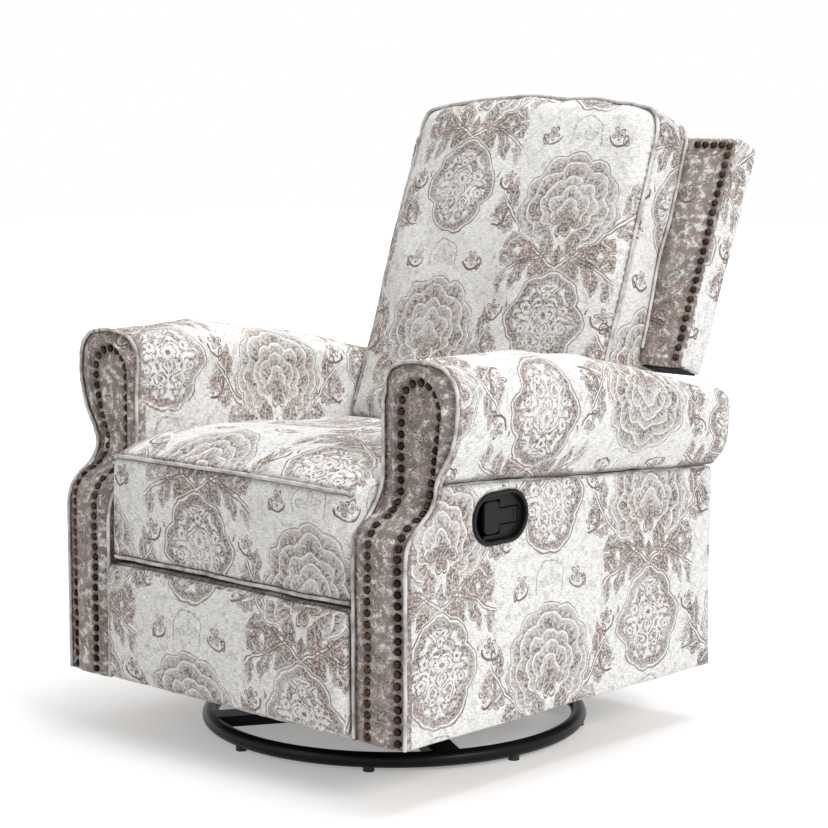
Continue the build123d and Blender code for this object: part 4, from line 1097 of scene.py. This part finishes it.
def nails(name, host, body, node, outward, rows):
    """A domed nail head at each place on the host, each turned and dented its own way."""
    tree = surface_tree(host.data)
    random = np.random.default_rng(7)
    vertices, faces, feet = [], [], []
    for place in rows:
        start = Vector(place + outward * HOST_REACH)
        spot, normal, _, _ = tree.ray_cast(start, Vector(-outward), 2 * HOST_REACH)
        if spot is None:
            spot, normal, _, _ = tree.find_nearest(Vector(place))
        foot, out = np.array(spot), np.array(normal)
        feet.append(foot)
        across = np.cross(out, (0.0, 0.0, 1.0))
        across /= np.linalg.norm(across)
        up = np.cross(across, out)
        first = len(vertices)
        flaw = random.uniform(-0.00025, 0.00025, size=(len(NAIL_PROFILE), NAIL_SIDES))
        for ring, (share, height) in enumerate(NAIL_PROFILE):
            reach = NAIL_RADIUS * share
            for index in range(NAIL_SIDES):
                turn = 2 * math.pi * index / NAIL_SIDES
                rise = height + (flaw[ring, index] * 0.5 if ring > 1 else 0.0)
                rim = foot + across * reach * math.cos(turn) + up * reach * math.sin(turn)
                vertices.append(rim + out * rise)
        crown = len(vertices)
        vertices.append(foot + out * NAIL_CROWN)
        for ring in range(first, crown - NAIL_SIDES, NAIL_SIDES):
            for index in range(NAIL_SIDES):
                a, b = ring + index, ring + (index + 1) % NAIL_SIDES
                faces.append((a, b, b + NAIL_SIDES, a + NAIL_SIDES))
        last = crown - NAIL_SIDES
        faces += [(last + i, last + (i + 1) % NAIL_SIDES, crown) for i in range(NAIL_SIDES)]
        faces.append(tuple(first + NAIL_SIDES - 1 - i for i in range(NAIL_SIDES)))
    obj = shade_smooth(add_object(name, make_mesh(name, [tuple(v) for v in vertices], faces), BRONZE))
    # each nail pulls the cloth in round its head, with painted shade round it
    press_seam(host, feet, 0.0009, 0.0085)
    dress(obj, body, node, slot="nail_bronze")


for side_name, side in SIDES:
    title, node = side_name.capitalize(), f"arm_nails_{side_name}"
    rows = keep_inside(nail_rows(node), side)
    nails(f"ArmNails{title}", bpy.data.objects[f"ArmFacing{title}"], "chassis", node, FORWARD, rows)
nails("BackNails", shell, "back", "back_nails", BACK_OUT, nail_rows("back_nails"))

# ---- base ring
RING_RADIUS, TUBE_RADIUS, RING_HEIGHT = 0.310, 0.0125, 0.018
BAR_TURN = math.radians(-31.5)  # where the first of the four bar ends meets the ring
BAR_HALF = 0.0235
BUTT_TURN = 2.2  # where the tube's own ends are joined, in radians


def ring_mesh():
    """The ring's tube with its butt weld, and fillet welds where the cross bars meet it."""
    around, across = 256, 24
    vertices = []
    for i in range(around):
        turn = 2 * math.pi * i / around
        bar = min(abs((turn - BAR_TURN - k * math.pi / 2 + math.pi) % (2 * math.pi) - math.pi) for k in range(5))
        fillet = max(0.0, 1.0 - abs(bar * RING_RADIUS - BAR_HALF) / 0.0045)
        butt = max(0.0, 1.0 - abs((turn - BUTT_TURN) * RING_RADIUS) / 0.004)
        for j in range(across):
            lean = 2 * math.pi * j / across
            reach = TUBE_RADIUS + (0.0016 * fillet * max(0.0, -math.cos(lean)) + 0.0006 * butt)
            out = RING_RADIUS + reach * math.cos(lean)
            vertices.append((out * math.cos(turn), out * math.sin(turn), RING_HEIGHT + reach * math.sin(lean)))
    faces = []
    for i in range(around):
        for j in range(across):
            a, b = i * across + j, i * across + (j + 1) % across
            c, d = (i + 1) % around * across + (j + 1) % across, (i + 1) % around * across + j
            faces.append((a, d, c, b))
    return make_mesh("BaseRing", vertices, faces)


ring = shade_smooth(add_object("BaseRing", ring_mesh(), BLACK_STEEL))
dress(ring, "base", "base_ring", slot="black_steel")

# ---- handle
bezel = copy_node("HandleBezel", "handle_bezel", PLASTIC)
soften(bezel, HANDLE_VOXEL, 3)
dress(bezel, "chassis", "handle_bezel", slot="black_plastic")
paddle = copy_node("PullPaddle", "pull_paddle", PLASTIC)
soften(paddle, 0.0010, 4)
dress(paddle, "pull_paddle", "pull_paddle", slot="black_plastic")

# the plate's two faces, the middle of its round rear end and its radius, and its open front end
PLATE_FACES = (0.3748, 0.3769)
PLATE_Y, PLATE_Z, PLATE_RADIUS = -0.1505, 0.415, 0.0342
PLATE_FRONT, PLATE_HALF = -0.2045, 0.0330
# the opening for the paddle: places along y, and the opening's half height there
PLATE_CUT = ((PLATE_FRONT, 0.0264), (-0.1671, 0.0264), (-0.1671, 0.0134), (-0.1262, 0.0134))


def handle_plate():
    """The face plate round the paddle, open in front for the fingers."""
    outline = [(PLATE_FRONT, PLATE_Z + PLATE_HALF)]
    for index in range(17):
        turn = math.pi / 2 - math.pi * index / 16
        outline.append((PLATE_Y + PLATE_RADIUS * math.cos(turn), PLATE_Z + PLATE_RADIUS * math.sin(turn)))
    outline.append((PLATE_FRONT, PLATE_Z - PLATE_HALF))
    outline += [(y, PLATE_Z - rise) for y, rise in PLATE_CUT]
    outline += [(y, PLATE_Z + rise) for y, rise in reversed(PLATE_CUT)]
    count = len(outline)
    vertices = [(x, y, z) for x in PLATE_FACES for y, z in outline]
    faces = [tuple(range(count)), tuple(reversed(range(count, 2 * count)))]
    faces += [(i, i + count, (i + 1) % count + count, (i + 1) % count) for i in range(count)]
    mesh = make_mesh("HandlePlate", vertices, faces)
    bm = bmesh.new()
    bm.from_mesh(mesh)
    bmesh.ops.recalc_face_normals(bm, faces=bm.faces)
    bm.to_mesh(mesh)
    bm.free()
    obj = add_object("HandlePlate", mesh, PLASTIC)
    edge = obj.modifiers.new("edge", "BEVEL")
    edge.width = 0.0005
    edge.segments = 2
    edge.limit_method = "ANGLE"
    return bake_modifiers(obj)


dress(handle_plate(), "chassis", slot="black_plastic")

# ---- stage
FLOOR_REACH = 14.0
WORLD_LIGHT = 0.34


def seen_directly(tree):
    """1 for what the camera sees, itself or in a reflection, and 0 for other light."""
    path = add_node(tree, "LightPath")
    direct, glossy, clear = (Term(path.outputs[f"Is {kind} Ray"]) for kind in ("Camera", "Glossy", "Transmission"))
    return direct.high(glossy).high(clear)


def make_floor():
    """A pale floor that keeps the shadow, and glows where it is seen far from the chair."""
    material, tree, shader = new_material("studio_floor")
    feed(shader, {"Base Color": (0.86, 0.86, 0.86, 1.0), "Roughness": 0.6})
    axes = add_node(tree, "SeparateXYZ", {0: object_vector(tree)})
    away = length(Term(axes.outputs["X"]), Term(axes.outputs["Y"]))
    fade = (away - 1.3).step(1.4) * 0.7 + 0.30
    glow = add_node(tree, "Emission", {"Strength": seen_directly(tree) * fade})
    both = add_node(tree, "AddShader", {0: shader.outputs[0], 1: glow.outputs[0]})
    feed(tree.nodes["Material Output"], {"Surface": both.outputs[0]})
    corners = [(x * FLOOR_REACH, y * FLOOR_REACH, 0) for x, y in ((-1, -1), (1, -1), (1, 1), (-1, 1))]
    add_object("Floor", make_mesh("Floor", corners, [(0, 1, 2, 3)]), material)


def make_world():
    """White where it is seen, and dimmer as a light."""
    world = bpy.data.worlds.new("Studio")
    SCENE.world = world
    world.use_nodes = True
    tree = world.node_tree
    tree.nodes.clear()
    strength = seen_directly(tree) * (1.0 - WORLD_LIGHT) + WORLD_LIGHT
    plain = add_node(tree, "Background", {"Color": (1.0, 1.0, 1.0, 1.0), "Strength": strength})
    add_node(tree, "OutputWorld", {"Surface": plain.outputs[0]})


def lamp(name, place, target, size, power, colour=(1.0, 1.0, 1.0)):
    data = bpy.data.lights.new(name, "AREA")
    data.color = colour
    data.shape = "DISK"
    data.size = size
    data.energy = power
    obj = bpy.data.objects.new(name, data)
    SCENE.collection.objects.link(obj)
    obj.location = place
    obj.rotation_euler = (Vector(target) - Vector(place)).to_track_quat("-Z", "Y").to_euler()


make_floor()
make_world()
lamp("KeyLamp", (4.2, -0.6, 2.6), (0.1, 0.0, 0.5), 1.8, 114.0)
lamp("FrontLamp", (-0.9, -4.2, 2.4), (0.0, 0.0, 0.5), 2.2, 31.0, (1.0, 0.965, 0.925))
lamp("TopLamp", (0.3, 0.6, 3.6), (0.0, 0.0, 0.5), 2.4, 80.0)

camera_data = bpy.data.cameras.new("Camera")
camera_data.lens = CAMERA_LENS
camera_data.sensor_width = 36.0
camera_data.clip_end = 60.0
camera = bpy.data.objects.new("Camera", camera_data)
SCENE.collection.objects.link(camera)
azimuth, pitch = math.radians(CAMERA_AZIMUTH), math.radians(CAMERA_PITCH)
forward = Vector((-math.sin(azimuth) * math.cos(pitch), math.cos(azimuth) * math.cos(pitch), -math.sin(pitch)))
camera.location = CAMERA_PLACE
camera.rotation_euler = forward.to_track_quat("-Z", "Y").to_euler()
SCENE.camera = camera
SCENE.view_settings.view_transform = "Standard"
